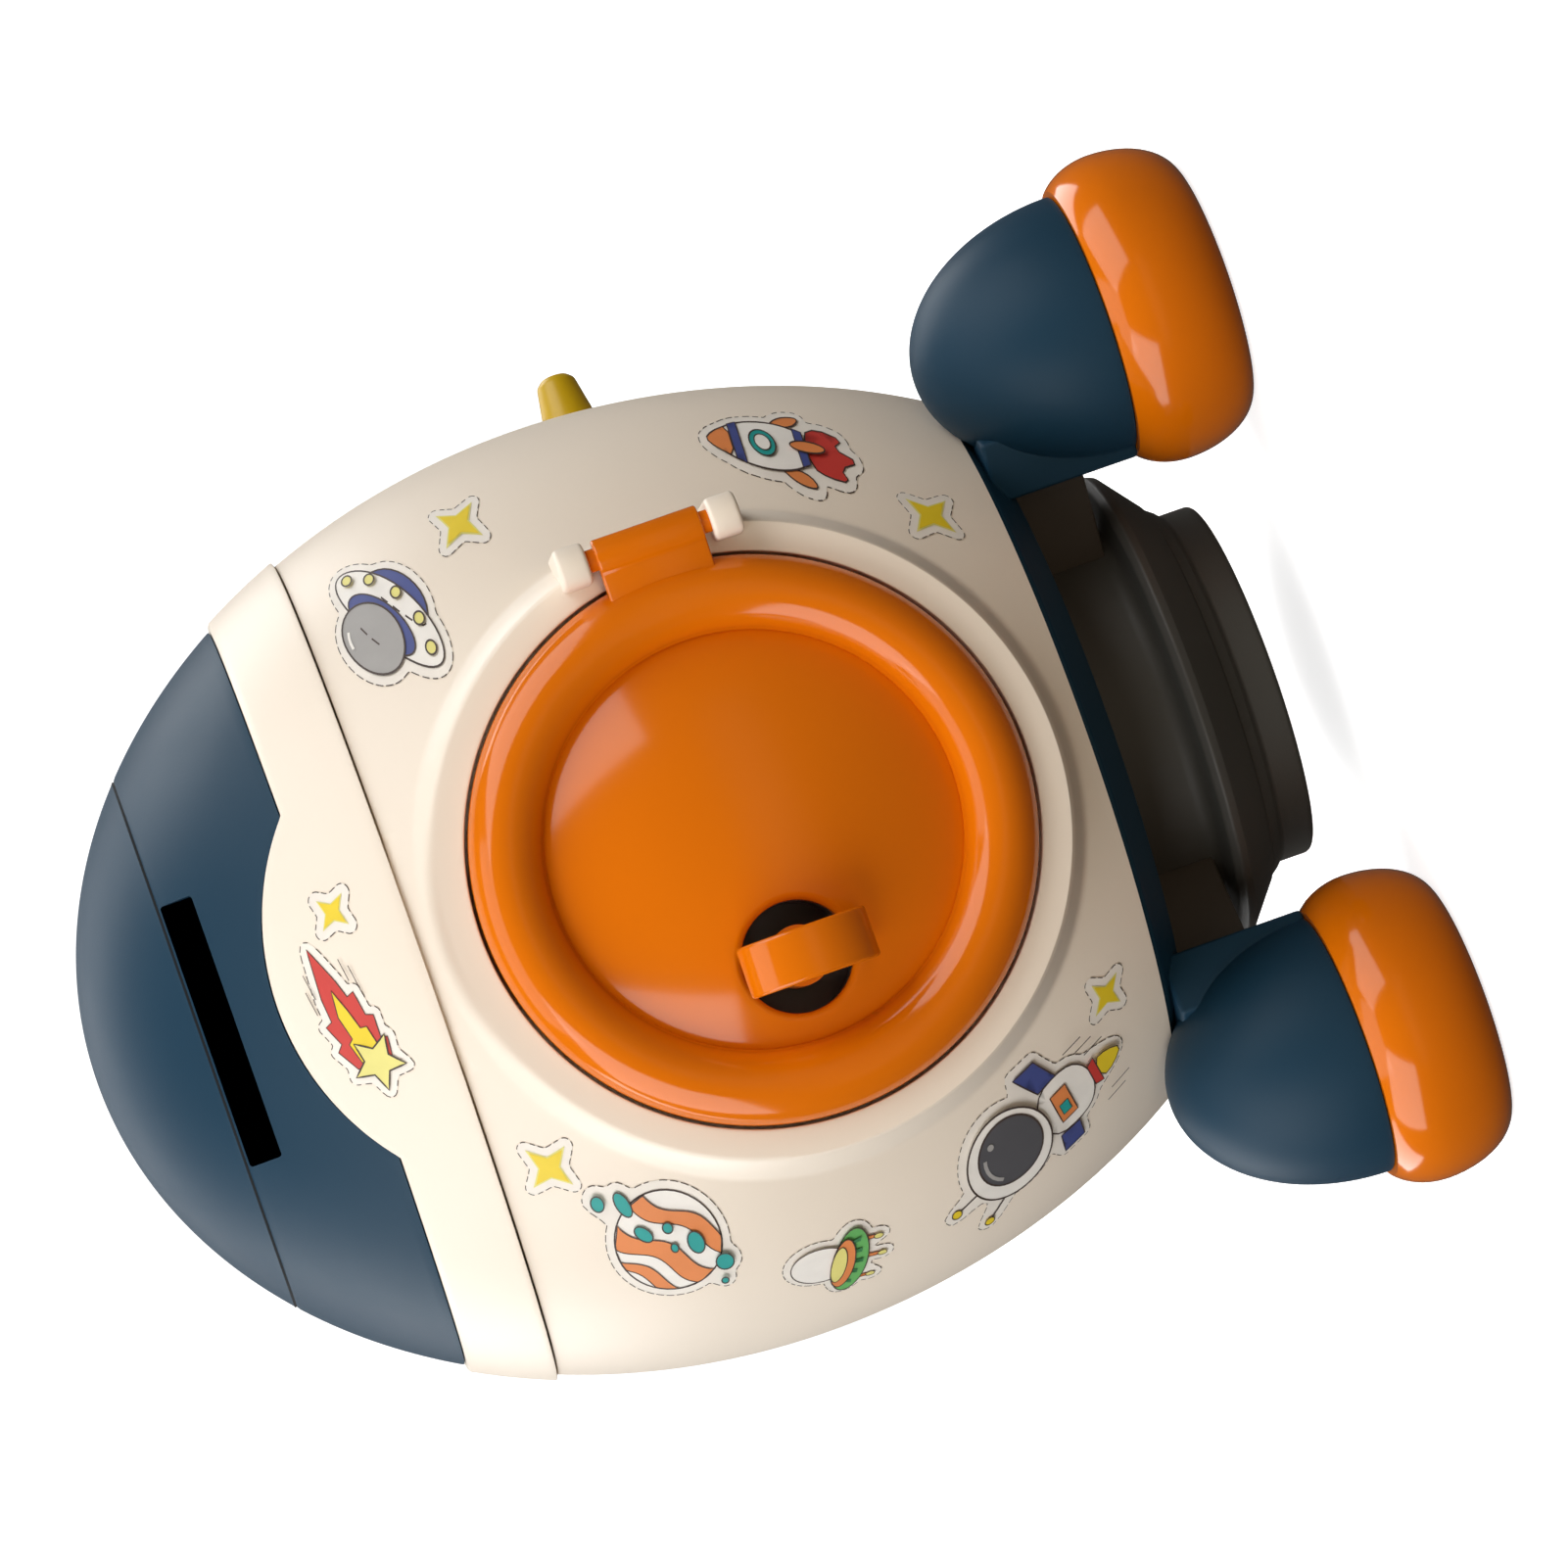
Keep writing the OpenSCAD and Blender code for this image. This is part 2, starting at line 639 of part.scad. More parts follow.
module side_knob() color(yellow) on_knob() {
    translate([0, 0, knob_surface + 0.4]) rotate_extrude() polygon(concat([[0, 0], [knob_r, 0]],
        arc(1.2, 12, 90, knob_r * 0.66 - 1.2, knob_l - 1.2, 6), [[0, knob_l]]));
    translate([0, 0, knob_boss_in - 3]) cylinder(r = knob_spindle_r,
        h = knob_surface - knob_boss_in + 3.6, $fn = 48);
}

module knob_clip() color(steel) on_knob() translate([0, 0, knob_boss_in - 1.6])
    difference() {
        cylinder(r = knob_r + 0.2, h = 1.2);
        translate([0, 0, -1]) cylinder(r = knob_spindle_r + touch_gap, h = 4, $fn = 48);
    }

body_front_shell();
body_back_shell();
shell_screws();
collar_band();
nose_lower();
nose_cap();
coin_ramp();
base_dish();
base_screws();
leg_left();
leg_right();
leg_rear();
strut_left();
strut_right();
strut_rear();
foot_left();
foot_right();
foot_rear();
leg_screws();
foot_screws();
nozzle();
nozzle_cover();
nozzle_screws();
door_panel();
door_back_plate();
hinge_leaf();
hinge_pin();
latch_cup();
door_screws();
latch_handle();
latch_cam();
latch_screw();
side_knob();
knob_clip();
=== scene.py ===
"""Toy rocket coin bank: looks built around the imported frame."""

import json
import math

import bmesh
import bpy
from mathutils import Matrix, Vector
from mathutils.geometry import delaunay_2d_cdt


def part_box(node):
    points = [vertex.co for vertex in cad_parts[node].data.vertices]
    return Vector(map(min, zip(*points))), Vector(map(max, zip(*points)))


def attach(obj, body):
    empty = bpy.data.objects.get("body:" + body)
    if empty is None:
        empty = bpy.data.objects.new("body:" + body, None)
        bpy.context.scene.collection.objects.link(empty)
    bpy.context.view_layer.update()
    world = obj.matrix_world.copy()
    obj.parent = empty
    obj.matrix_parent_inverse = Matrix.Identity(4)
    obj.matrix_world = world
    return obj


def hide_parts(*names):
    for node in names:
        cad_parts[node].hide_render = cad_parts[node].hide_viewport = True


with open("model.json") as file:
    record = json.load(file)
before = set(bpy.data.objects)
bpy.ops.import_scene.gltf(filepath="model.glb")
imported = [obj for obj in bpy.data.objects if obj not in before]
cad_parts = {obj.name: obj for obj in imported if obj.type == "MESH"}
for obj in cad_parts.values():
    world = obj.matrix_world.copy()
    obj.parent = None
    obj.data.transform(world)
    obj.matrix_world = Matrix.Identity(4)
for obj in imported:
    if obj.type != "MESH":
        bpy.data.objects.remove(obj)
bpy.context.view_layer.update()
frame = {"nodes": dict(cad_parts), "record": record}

MM = 0.001
RING = 256          # steps round a large turned piece

# ---------------- sizes, read from the frame
back_lo, back_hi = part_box("body_back_shell")
door_lo, door_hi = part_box("door_panel")
body_r = back_hi[0]
floor_z = back_lo[2]
tip_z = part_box("nose_cap")[1][2]
seam_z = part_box("nose_lower")[1][2]
collar_lo, collar_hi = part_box("collar_band")
seam_gap = 0.3 * MM
collar_z = collar_lo[2] - seam_gap
collar_top = collar_z + 13 * MM
arch_top = collar_hi[2]
arch_r = 41.5 * MM
collar_proud = 0.9 * MM
collar_seat = 0.9 * MM
wall = 2.4 * MM
widest_z = 108 * MM
nose_rise = tip_z - widest_z
belly_drop = 100 * MM
door_x = (door_lo[0] + door_hi[0]) / 2
door_z = (door_lo[2] + door_hi[2]) / 2
door_r = (door_hi[2] - door_lo[2]) / 2
skirt = 4 * MM
pad_front = -(door_hi[1] - skirt)
pad_r = door_r + 6 * MM
well_r = door_r + 0.5 * MM
leaf_lo, leaf_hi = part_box("hinge_leaf")
pin_lo, pin_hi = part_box("hinge_pin")
pin_x = (pin_lo[0] + pin_hi[0]) / 2
pin_y = (pin_lo[1] + pin_hi[1]) / 2


def half_height(z):
    return belly_drop if z < widest_z else nose_rise


def body_rad(z, d=0.0):
    """Radius of the body's outline at height z, drawn in by d."""
    h = half_height(z) - d
    return (body_r - d) * math.sqrt(max(0.0, 1 - ((z - widest_z) / h) ** 2))


def outline(z0, z1, d, n):
    """Points (r, z) along the body's outline between two heights."""
    def angle(z):
        return math.asin(max(-1, min(1, (z - widest_z) / (half_height(z) - d))))
    a0, a1 = angle(z0), angle(z1)
    points = []
    for i in range(n + 1):
        t = a0 + (a1 - a0) * i / n
        h = (belly_drop if t < 0 else nose_rise) - d
        points.append(((body_r - d) * math.cos(t), widest_z + h * math.sin(t)))
    return points


# ---------------- mesh helpers
def move(x, y, z):
    return Matrix.Translation((x, y, z))


def turn(degrees, axis="Z"):
    return Matrix.Rotation(math.radians(degrees), 4, axis)


def circle(r, n, x=0.0, y=0.0):
    """n points round a middle, from the +X side."""
    angles = [2 * math.pi * k / n for k in range(n)]
    return [(x + r * math.cos(a), y + r * math.sin(a)) for a in angles]


def fillet(path, closed=True, steps=5):
    """A path of (x, y) or (x, y, radius) with its corners rounded."""
    out = []
    count = len(path)
    for i, p in enumerate(path):
        r = p[2] if len(p) > 2 else 0
        ends = not closed and i in (0, count - 1)
        if r <= 0 or ends:
            out.append((p[0], p[1]))
            continue
        b = Vector(p[:2])
        a = Vector(path[i - 1][:2]) - b
        c = Vector(path[(i + 1) % count][:2]) - b
        half = a.angle(c) / 2
        if half > math.radians(88):
            out.append((p[0], p[1]))
            continue
        reach = min(r / math.tan(half), a.length * 0.49, c.length * 0.49)
        r = reach * math.tan(half)
        centre = b + (a.normalized() + c.normalized()).normalized() * (r / math.sin(half))
        start = b + a.normalized() * reach - centre
        end = b + c.normalized() * reach - centre
        turn = start.angle_signed(end)
        for k in range(steps + 1):
            t = -turn * k / steps
            x = start.x * math.cos(t) - start.y * math.sin(t)
            y = start.x * math.sin(t) + start.y * math.cos(t)
            out.append((centre.x + x, centre.y + y))
    return out


def link_mesh(name, mesh, material, sharp):
    finish_mesh(mesh, sharp)
    if material:
        mesh.materials.append(material)
    return link(name, mesh)


def link(name, data):
    """A new object with the data, in the scene."""
    obj = bpy.data.objects.new(name, data)
    bpy.context.collection.objects.link(obj)
    return obj


def make(name, verts, faces, material, sharp=38):
    """A mesh object with smooth shading, split at sharp edges."""
    mesh = bpy.data.meshes.new(name)
    mesh.from_pydata([tuple(v) for v in verts], [], faces)
    bm = bmesh.new()
    bm.from_mesh(mesh)
    bmesh.ops.remove_doubles(bm, verts=bm.verts, dist=1e-7)
    bmesh.ops.dissolve_degenerate(bm, edges=bm.edges, dist=1e-8)
    bmesh.ops.recalc_face_normals(bm, faces=bm.faces)
    bm.to_mesh(mesh)
    bm.free()
    return link_mesh(name, mesh, material, sharp)


def finish_mesh(mesh, sharp=38):
    for p in mesh.polygons:
        p.use_smooth = True
    mesh.set_sharp_from_angle(angle=math.radians(sharp))


def lathe_data(path, steps=RING, closed=True):
    """Vertices and faces of a path of (r, z) turned about Z."""
    verts, faces = [], []
    rings = []
    for r, z in path:
        if r < 1e-7:
            rings.append([len(verts)])
            verts.append((0, 0, z))
            continue
        rings.append(list(range(len(verts), len(verts) + steps)))
        for k in range(steps):
            a = 2 * math.pi * k / steps
            verts.append((r * math.sin(a), -r * math.cos(a), z))
    pairs = list(zip(rings, rings[1:]))
    if closed:
        pairs.append((rings[-1], rings[0]))
    for a, b in pairs:
        if len(a) == 1 and len(b) == 1:
            continue
        for k in range(steps):
            j = (k + 1) % steps
            if len(a) == 1:
                faces.append((a[0], b[k], b[j]))
            elif len(b) == 1:
                faces.append((a[k], a[j], b[0]))
            else:
                faces.append((a[k], a[j], b[j], b[k]))
    return verts, faces


def lathe(name, path, material, steps=RING, closed=True, place=None, sharp=38):
    verts, faces = lathe_data(path, steps, closed)
    if place:
        verts = [place @ Vector(v) for v in verts]
    return make(name, verts, faces, material, sharp)


def loft(name, rings, material, sharp=38):
    """Rings of equal length joined one to the next and the last to the first."""
    verts = [v for ring in rings for v in ring]
    n = len(rings[0])
    faces = []
    for i in range(len(rings)):
        a, b = i * n, ((i + 1) % len(rings)) * n
        for k in range(n):
            j = (k + 1) % n
            faces.append((a + k, a + j, b + j, b + k))
    return make(name, verts, faces, material, sharp)


def join(name, objects):
    """One object of several, which keep their materials."""
    first = objects[0]
    with bpy.context.temp_override(active_object=first, selected_editable_objects=objects):
        bpy.ops.object.join()
    first.name = name
    return first


def cut(obj, cutter, how="DIFFERENCE"):
    """Takes the cutter's solid out of obj, or keeps what lies in it."""
    mod = obj.modifiers.new("cut", "BOOLEAN")
    mod.operation = how
    mod.solver = "EXACT"
    mod.object = cutter
    apply_modifiers(obj)
    bpy.data.objects.remove(cutter)


def apply_modifiers(obj, sharp=38):
    graph = bpy.context.evaluated_depsgraph_get()
    mesh = bpy.data.meshes.new_from_object(obj.evaluated_get(graph))
    old = obj.data
    obj.modifiers.clear()
    obj.data = mesh
    mesh.name = obj.name
    bpy.data.meshes.remove(old)
    finish_mesh(mesh, sharp)


def prism(name, outline_2d, height, material, place=None, round_edge=0.0, steps=3, sharp=38):
    """A flat outline extruded along Z from 0 to height, with rounded edges."""
    bm = bmesh.new()
    base = [bm.verts.new((x, y, 0)) for x, y in outline_2d]
    face = bm.faces.new(base)
    out = bmesh.ops.extrude_face_region(bm, geom=[face])
    moved = [g for g in out["geom"] if isinstance(g, bmesh.types.BMVert)]
    bmesh.ops.translate(bm, verts=moved, vec=(0, 0, height))
    bmesh.ops.recalc_face_normals(bm, faces=bm.faces)
    if round_edge > 0:
        flat = [e for e in bm.edges
                if e.calc_face_angle(0) > math.radians(30)
                or abs(e.verts[0].co.z - e.verts[1].co.z) < 1e-9]
        bmesh.ops.bevel(bm, geom=flat, offset=round_edge, segments=steps, profile=0.5,
                        affect="EDGES", clamp_overlap=True)
    if place:
        bmesh.ops.transform(bm, matrix=place, verts=bm.verts)
    mesh = bpy.data.meshes.new(name)
    bm.to_mesh(mesh)
    bm.free()
    return link_mesh(name, mesh, material, sharp)


def stands_for(obj, body, slot, *nodes):
    """obj rides on a body and replaces CAD nodes; the slot is not used."""
    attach(obj, body)
    if nodes:
        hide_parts(*nodes)
    return obj


# Places: the door's frame has +Z outward and +Y up
ON_PAD = move(0, -pad_front, door_z) @ turn(90, "X")


# ---------------- materials
class Finish:
    """A node material under construction, with its object coordinates."""

    def __init__(self, name):
        self.mat = bpy.data.materials.new(name)
        self.mat.use_nodes = True
        self.nodes, self.links = self.mat.node_tree.nodes, self.mat.node_tree.links
        self.shader = self.nodes["Principled BSDF"]
        self.place = self.nodes.new("ShaderNodeTexCoord")

    def noise(self, scale, detail):
        node = self.nodes.new("ShaderNodeTexNoise")
        node.inputs["Scale"].default_value = scale
        node.inputs["Detail"].default_value = detail
        self.links.new(self.place.outputs["Object"], node.inputs["Vector"])
        return node.outputs["Fac"]

    def ramp(self, fac, low, high, start=0.0, end=1.0):
        node = self.nodes.new("ShaderNodeValToRGB")
        for element, colour, position in zip(node.color_ramp.elements, (low, high), (start, end)):
            element.color = (*colour, 1)
            element.position = position
        self.links.new(fac, node.inputs["Fac"])
        return node.outputs["Color"]

    def roughness(self, fac, low, high):
        node = self.nodes.new("ShaderNodeMapRange")
        node.inputs["To Min"].default_value = low
        node.inputs["To Max"].default_value = high
        self.links.new(fac, node.inputs["Value"])
        self.links.new(node.outputs["Result"], self.shader.inputs["Roughness"])

    def bump(self, fac, strength, distance, normal=None):
        node = self.nodes.new("ShaderNodeBump")
        node.inputs["Strength"].default_value = strength
        node.inputs["Distance"].default_value = distance
        self.links.new(fac, node.inputs["Height"])
        if normal:
            self.links.new(normal, node.inputs["Normal"])
        return node.outputs["Normal"]


def plastic(name, colour, rough, shade=0.06, grain=0.02, grain_scale=2600, coat=0.0,
            wear=0.0, mottle_scale=14, specular=0.5, waves=0.0):
    """Moulded plastic: soft colour drift, fine grain, and a slight change of roughness."""
    made = Finish(name)
    shader, nodes, links = made.shader, made.nodes, made.links
    shader.inputs["Specular IOR Level"].default_value = specular
    shader.inputs["Coat Weight"].default_value = coat
    shader.inputs["Coat Roughness"].default_value = 0.04
    base = made.ramp(made.noise(mottle_scale, 4), [c * (1 - shade) for c in colour],
                     [min(1, c * (1 + shade)) for c in colour], 0.3, 0.7)
    if wear > 0:
        geometry = nodes.new("ShaderNodeNewGeometry")
        edge = nodes.new("ShaderNodeMapRange")
        edge.inputs["From Min"].default_value = 0.52
        edge.inputs["From Max"].default_value = 0.62
        links.new(geometry.outputs["Pointiness"], edge.inputs["Value"])
        worn = nodes.new("ShaderNodeMix")
        worn.data_type = "RGBA"
        worn.inputs["B"].default_value = (*[min(1, c * 1.25 + 0.03) for c in colour], 1)
        amount = nodes.new("ShaderNodeMath")
        amount.operation = "MULTIPLY"
        amount.inputs[1].default_value = wear
        links.new(edge.outputs["Result"], amount.inputs[0])
        links.new(amount.outputs["Value"], worn.inputs["Factor"])
        links.new(base, worn.inputs["A"])
        base = worn.outputs["Result"]
    links.new(base, shader.inputs["Base Color"])
    made.roughness(made.noise(55, 5), max(0.02, rough * 0.88), min(1, rough * 1.14))
    normal = made.bump(made.noise(grain_scale, 2), grain, 0.0002)
    if waves > 0:
        normal = made.bump(made.noise(30, 1), waves, 0.002, normal)
    links.new(normal, shader.inputs["Normal"])
    return made.mat


def screw_steel(name):
    """Plated steel with a fine mottle."""
    made = Finish(name)
    made.shader.inputs["Metallic"].default_value = 1
    mottle = made.noise(900, 4)
    made.links.new(made.ramp(mottle, (0.42, 0.43, 0.45), (0.66, 0.66, 0.67)),
                   made.shader.inputs["Base Color"])
    made.roughness(mottle, 0.28, 0.45)
    made.links.new(made.bump(mottle, 0.15, 0.0001), made.shader.inputs["Normal"])
    return made.mat


CREAM = plastic("cream_moulded", (0.86, 0.765, 0.65), 0.42, shade=0.012, grain=0.05, wear=0.05)
NAVY = plastic("navy_moulded", (0.0085, 0.038, 0.071), 0.48, shade=0.05, grain=0.06, wear=0.12,
               specular=0.2)
ORANGE = plastic("orange_gloss", (0.71, 0.160, 0.0014), 0.12, shade=0.03, grain=0.006,
                 coat=0.08, waves=0.02, specular=0.42)
CHARCOAL = plastic("charcoal_moulded", (0.058, 0.056, 0.050), 0.55, shade=0.08, grain=0.08,
                   wear=0.10)
# near-black material for the nose seam ring: painted shadow in the seam's gap
PAINTED_SEAM_SHADOW = plastic("painted_seam_shadow", (0.004, 0.005, 0.007), 0.7, shade=0.05, grain=0.03, wear=0.0)
TAUPE = plastic("taupe_moulded", (0.060, 0.050, 0.040), 0.45, shade=0.08, grain=0.08, wear=0.1)
YELLOW = plastic("yellow_moulded", (0.60, 0.38, 0.004), 0.35, shade=0.04, grain=0.05, wear=0.08)
STEEL = screw_steel("plated_steel")
SLOT_MATERIAL = {
    "cream_plastic": CREAM, "navy_plastic": NAVY, "orange_plastic": ORANGE,
    "charcoal_plastic": CHARCOAL, "taupe_plastic": TAUPE, "yellow_plastic": YELLOW,
    "steel": STEEL,
}
for part in frame["record"]["subparts"]:
    obj = frame["nodes"][part["node"]]
    for i in range(max(1, len(obj.material_slots))):
        if not obj.material_slots:
            obj.data.materials.append(None)
        obj.material_slots[i].material = SLOT_MATERIAL[part["material_slot"]]


# ---------------- body shells
def skin_point(phi, z):
    """Point on the body's outer surface: the egg, with the flat pad blended in front."""
    sin, cos = math.sin(phi), math.cos(phi)
    r_egg = body_rad(z)
    if cos <= 0.2:
        return Vector((r_egg * sin, -r_egg * cos, z))

    def outside(r):
        x, depth = r * sin, r * cos
        off = math.hypot(x - door_x, z - door_z)
        t = min(1, max(0, (off - pad_r + 1.2 * MM) / (3.4 * MM)))
        w = t * t * (3 - 2 * t)
        return (1 - w) * (depth - pad_front) + w * (r - r_egg)

    lo, hi = 0.7 * r_egg, 1.35 * r_egg
    off_far = math.hypot(r_egg * sin - door_x, z - door_z)
    if off_far > pad_r + 14 * MM:
        return Vector((r_egg * sin, -r_egg * cos, z))
    for _ in range(34):
        mid = (lo + hi) / 2
        if outside(mid) < 0:
            lo = mid
        else:
            hi = mid
    r = (lo + hi) / 2
    return Vector((r * sin, -r * cos, z))


def pad_ring_points(rho, count):
    """(phi, z) of points at radius rho round the door, seen from the front."""
    points = []
    for x, z in circle(rho, count, door_x, door_z):
        depth = pad_front if rho <= pad_r else max(
            math.sqrt(max(1e-9, body_rad(z) ** 2 - x * x)), 0.0)
        points.append((math.atan2(x, depth), z))
    return points


def front_skin():
    """The front half's surface as a sheet, open at the well: vertices and triangles."""
    rings = [well_r + 0.45 * MM, pad_r - 1.4 * MM] + [
        pad_r + (k * 0.42 - 1.0) * MM for k in range(14)]
    rings.insert(1, well_r + 2.4 * MM)
    count = 240
    coords = []
    for rho in rings:
        for phi, z in pad_ring_points(rho, count):
            coords.append((phi * body_r, z))
    edges = [(k, (k + 1) % count) for k in range(count)]
    outer_rho = rings[-1] + 1.5 * MM
    side, rows = 118, 76
    low, high = floor_z, collar_z - 0.05 * MM
    for j in range(rows + 1):
        z = low + (high - low) * j / rows
        for i in range(side + 1):
            phi = -math.pi / 2 + math.pi * i / side
            x = body_rad(z) * math.sin(phi)
            near_door = abs(phi) < 1.2 and math.hypot(x - door_x, z - door_z) < outer_rho
            if near_door and 0 < j < rows and 0 < i < side:
                continue
            coords.append((phi * body_r, z))
    out = delaunay_2d_cdt([Vector(c) for c in coords], edges, [], 0, 1e-7, False)
    points, faces = out[0], out[2]
    hole = (well_r + 0.45 * MM) * 0.999
    verts = [skin_point(p.x / body_r, p.y) for p in points]
    kept = []
    for f in faces:
        mid = sum((verts[i] for i in f), Vector()) / len(f)
        if mid.y < 0 and math.hypot(mid.x - door_x, mid.z - door_z) < hole:
            continue
        kept.append(tuple(f))
    return verts, kept


def shell_front():
    """Front shell: outer skin, well, seat ring, inner skin and closed edges."""
    sheet = make("front_sheet", *front_skin(), CREAM)
    mod = sheet.modifiers.new("wall", "SOLIDIFY")
    mod.thickness = wall
    # the wall is laid inward, whichever way the sheet's own normals point
    normal = sheet.data.polygons[0].normal
    centre = sheet.data.polygons[0].center
    outward = normal.dot(Vector((centre.x, centre.y, 0))) > 0
    mod.offset = -1 if outward else 1
    mod.use_even_offset = True
    apply_modifiers(sheet)
    seat_in = well_r - 4.4 * MM
    back = -skirt - 0.6 * MM
    lip = fillet([
        (well_r + 1.2 * MM, -0.02 * MM), (well_r, -0.02 * MM, 0.3 * MM), (well_r, back, 0.3 * MM),
        (seat_in, back, 0.4 * MM), (seat_in, back - 2.4 * MM, 0.4 * MM),
        (well_r + wall, back - 2.4 * MM, 0.5 * MM), (well_r + wall, -1.6 * MM),
        (well_r + 1.2 * MM, -1.6 * MM)])
    well = lathe("well", lip, CREAM, 240, place=ON_PAD)
    return join("front_shell", [sheet, well])


def rod(name, r, length, material, place):
    """A plain rod laid along +Y from its place."""
    return lathe(name, [(0, 0), (r, 0), (r, length), (0, length)], material, 48,
                 place=place @ turn(-90, "X"))


def shell_back():
    """Back shell with its tucked-in edges and the screw tunnels."""
    steps = 150
    tuck_r = body_rad(floor_z) - 5.6 * MM
    path = [(tuck_r, floor_z + wall), (tuck_r, floor_z)]
    path += outline(floor_z, collar_z - 0.05 * MM, 0, 80)
    path += outline(floor_z + wall, collar_z - 0.05 * MM, wall, 60)[::-1]
    n = steps + 1
    angles = [math.pi * k / steps for k in range(n)]
    verts = [(r * math.cos(a), r * math.sin(a), z) for r, z in path for a in angles]
    faces = []
    for i in range(len(path)):
        a, b = i * n, ((i + 1) % len(path)) * n
        for k in range(steps):
            faces.append((a + k, a + k + 1, b + k + 1, b + k))
    faces.append(tuple(i * n for i in range(len(path))))
    faces.append(tuple(i * n + steps for i in reversed(range(len(path)))))
    shell = make("back_shell", verts, faces, CREAM)
    tunnel_r = 4.4 * MM
    screw_seat_y = 8 * MM
    tunnels = []
    for z in (floor_z + 23 * MM, collar_z - 11 * MM):
        for side in (-1, 1):
            x = side * (body_rad(z, wall) - 3.4 * MM)
            tube = rod("tunnel", tunnel_r, 40 * MM, CREAM, move(x, 0.2 * MM, z))
            core = [(0, floor_z), *outline(floor_z, collar_z, 0.02 * MM, 60), (0, collar_z)]
            cut(tube, lathe("core", core, None, 192), "INTERSECT")
            for piece in (shell, tube):
                cut(piece, rod("tool", tunnel_r - 1.2 * MM, 60 * MM, None, move(x, screw_seat_y, z)))
            tunnels.append(tube)
    return join("back_shell", [shell, *tunnels])


def hinge_ears():
    """Two cream ears with rounded ends, standing on the front shell."""
    ear_r, length, gap = 3.25 * MM, 4.65 * MM, 1.35 * MM
    outline_2d = []
    for k in range(25):
        a = math.pi * k / 24
        outline_2d.append((pin_x + ear_r * math.cos(a), pin_y - ear_r * math.sin(a)))
    outline_2d += [(pin_x - ear_r, -pad_front + 4 * MM),
                   (pin_x + ear_r, -pad_front + 12 * MM)]
    ears = []
    for z in (leaf_hi[2] + gap, leaf_lo[2] - gap - length):
        ears.append(prism("ear", outline_2d, length, CREAM, move(0, 0, z), 0.7 * MM, 4))
    return ears


front = join("front_shell", [shell_front()] + hinge_ears())
stands_for(front, "body", "cream_plastic", "body_front_shell")
back = shell_back()
stands_for(back, "body", "cream_plastic", "body_back_shell")


# ---------------- collar and nose
def collar_height(x, y, grow=0.0):
    """Top edge of the collar over a place (x, y): the arch stands over the front."""
    if y >= 0:
        return collar_top + grow
    middle = arch_top - arch_r
    reach = arch_r + grow
    if abs(x) >= reach:
        return collar_top + grow
    return max(collar_top + grow, middle + math.sqrt(reach * reach - x * x))


def ring_angles():
    """Angles round the body, closer together at the front."""
    angles = []
    n = 420
    for k in range(n):
        t = 2 * math.pi * k / n - math.pi
        angles.append(t - 0.55 * math.sin(t))
    return angles


def edge_height(phi, grow=0.0):
    """Collar edge at angle phi, found on the sloping surface."""
    z = collar_top
    for _ in range(12):
        r = body_rad(z)
        z = collar_height(r * math.sin(phi), -r * math.cos(phi), grow)
    return z


def collar():
    low = collar_z + seam_gap
    rings = []
    for phi in ring_angles():
        top = edge_height(phi)
        n = 14
        path = [(body_rad(low, collar_seat), low)]
        path.append((body_rad(low, -collar_proud) - 0.0003, low))
        path.append((body_rad(low, -collar_proud) - 0.0001, low + 0.0001))
        for i in range(n + 1):
            z = low + 0.0003 + (top - 0.0006 - low) * i / n
            path.append((body_rad(z, -collar_proud), z))
        edge = top
        path.append((body_rad(edge, -collar_proud) - 0.00012, edge - 0.00012))
        path.append((body_rad(edge, -collar_proud) - 0.0004, edge))
        path.append((body_rad(edge, collar_seat), edge))
        rings.append([(r * math.sin(phi), -r * math.cos(phi), z) for r, z in path])
    return loft("collar", rings, CREAM, sharp=50)


def nose():
    low = collar_z + 6 * MM
    rings = []
    for phi in ring_angles():
        edge = edge_height(phi, 0.15 * MM)
        path = [(body_rad(low, wall), low), (body_rad(low, 1.05 * MM), low)]
        path.append((body_rad(edge, 1.05 * MM), edge))
        path.append((body_rad(edge, 0.35 * MM), edge + 0.00002))
        path.append((body_rad(edge + 0.0001, 0.08 * MM), edge + 0.0001))
        n = 16
        start = edge + 0.0004
        for i in range(n + 1):
            z = start + (seam_z - 0.0004 - start) * i / n
            path.append((body_rad(z), z))
        path.append((body_rad(seam_z, 0.04 * MM), seam_z - 0.00005))
        path.append((body_rad(seam_z, 0.12 * MM), seam_z))
        path.append((body_rad(seam_z, wall), seam_z))
        rings.append([(r * math.sin(phi), -r * math.cos(phi), z) for r, z in path])
    return loft("nose", rings, NAVY, sharp=50)


slot_lo_z = seam_z - 5.4 * MM
slot_hi_z = slot_lo_z + 5.1 * MM
slot_half_w = 21 * MM
slot_round = 0.5 * MM
stands_for(collar(), "body", "cream_plastic", "collar_band")
nose_piece = nose()
slot = fillet([(x * slot_half_w, z, slot_round) for x, z in (
    (-1, slot_lo_z), (1, slot_lo_z), (1, slot_hi_z), (-1, slot_hi_z))])
cut(nose_piece, prism("slot_tool", slot, body_r, None, turn(90, "X")))
# a near-black ring just under the surface at the nose seam: painted shadow that darkens the gap line
seam_shadow_r = body_rad(seam_z, 0.16 * MM)
seam_shadow_in_r = seam_shadow_r - 1.2 * MM
seam_shadow_lo, seam_shadow_hi = seam_z - 0.3 * MM, seam_z + 0.4 * MM
seam_shadow = lathe("seam_shadow", [(seam_shadow_r, seam_shadow_lo), (seam_shadow_r, seam_shadow_hi),
                        (seam_shadow_in_r, seam_shadow_hi), (seam_shadow_in_r, seam_shadow_lo)], PAINTED_SEAM_SHADOW)
stands_for(join("nose", [nose_piece, seam_shadow]), "body", "navy_plastic", "nose_lower")

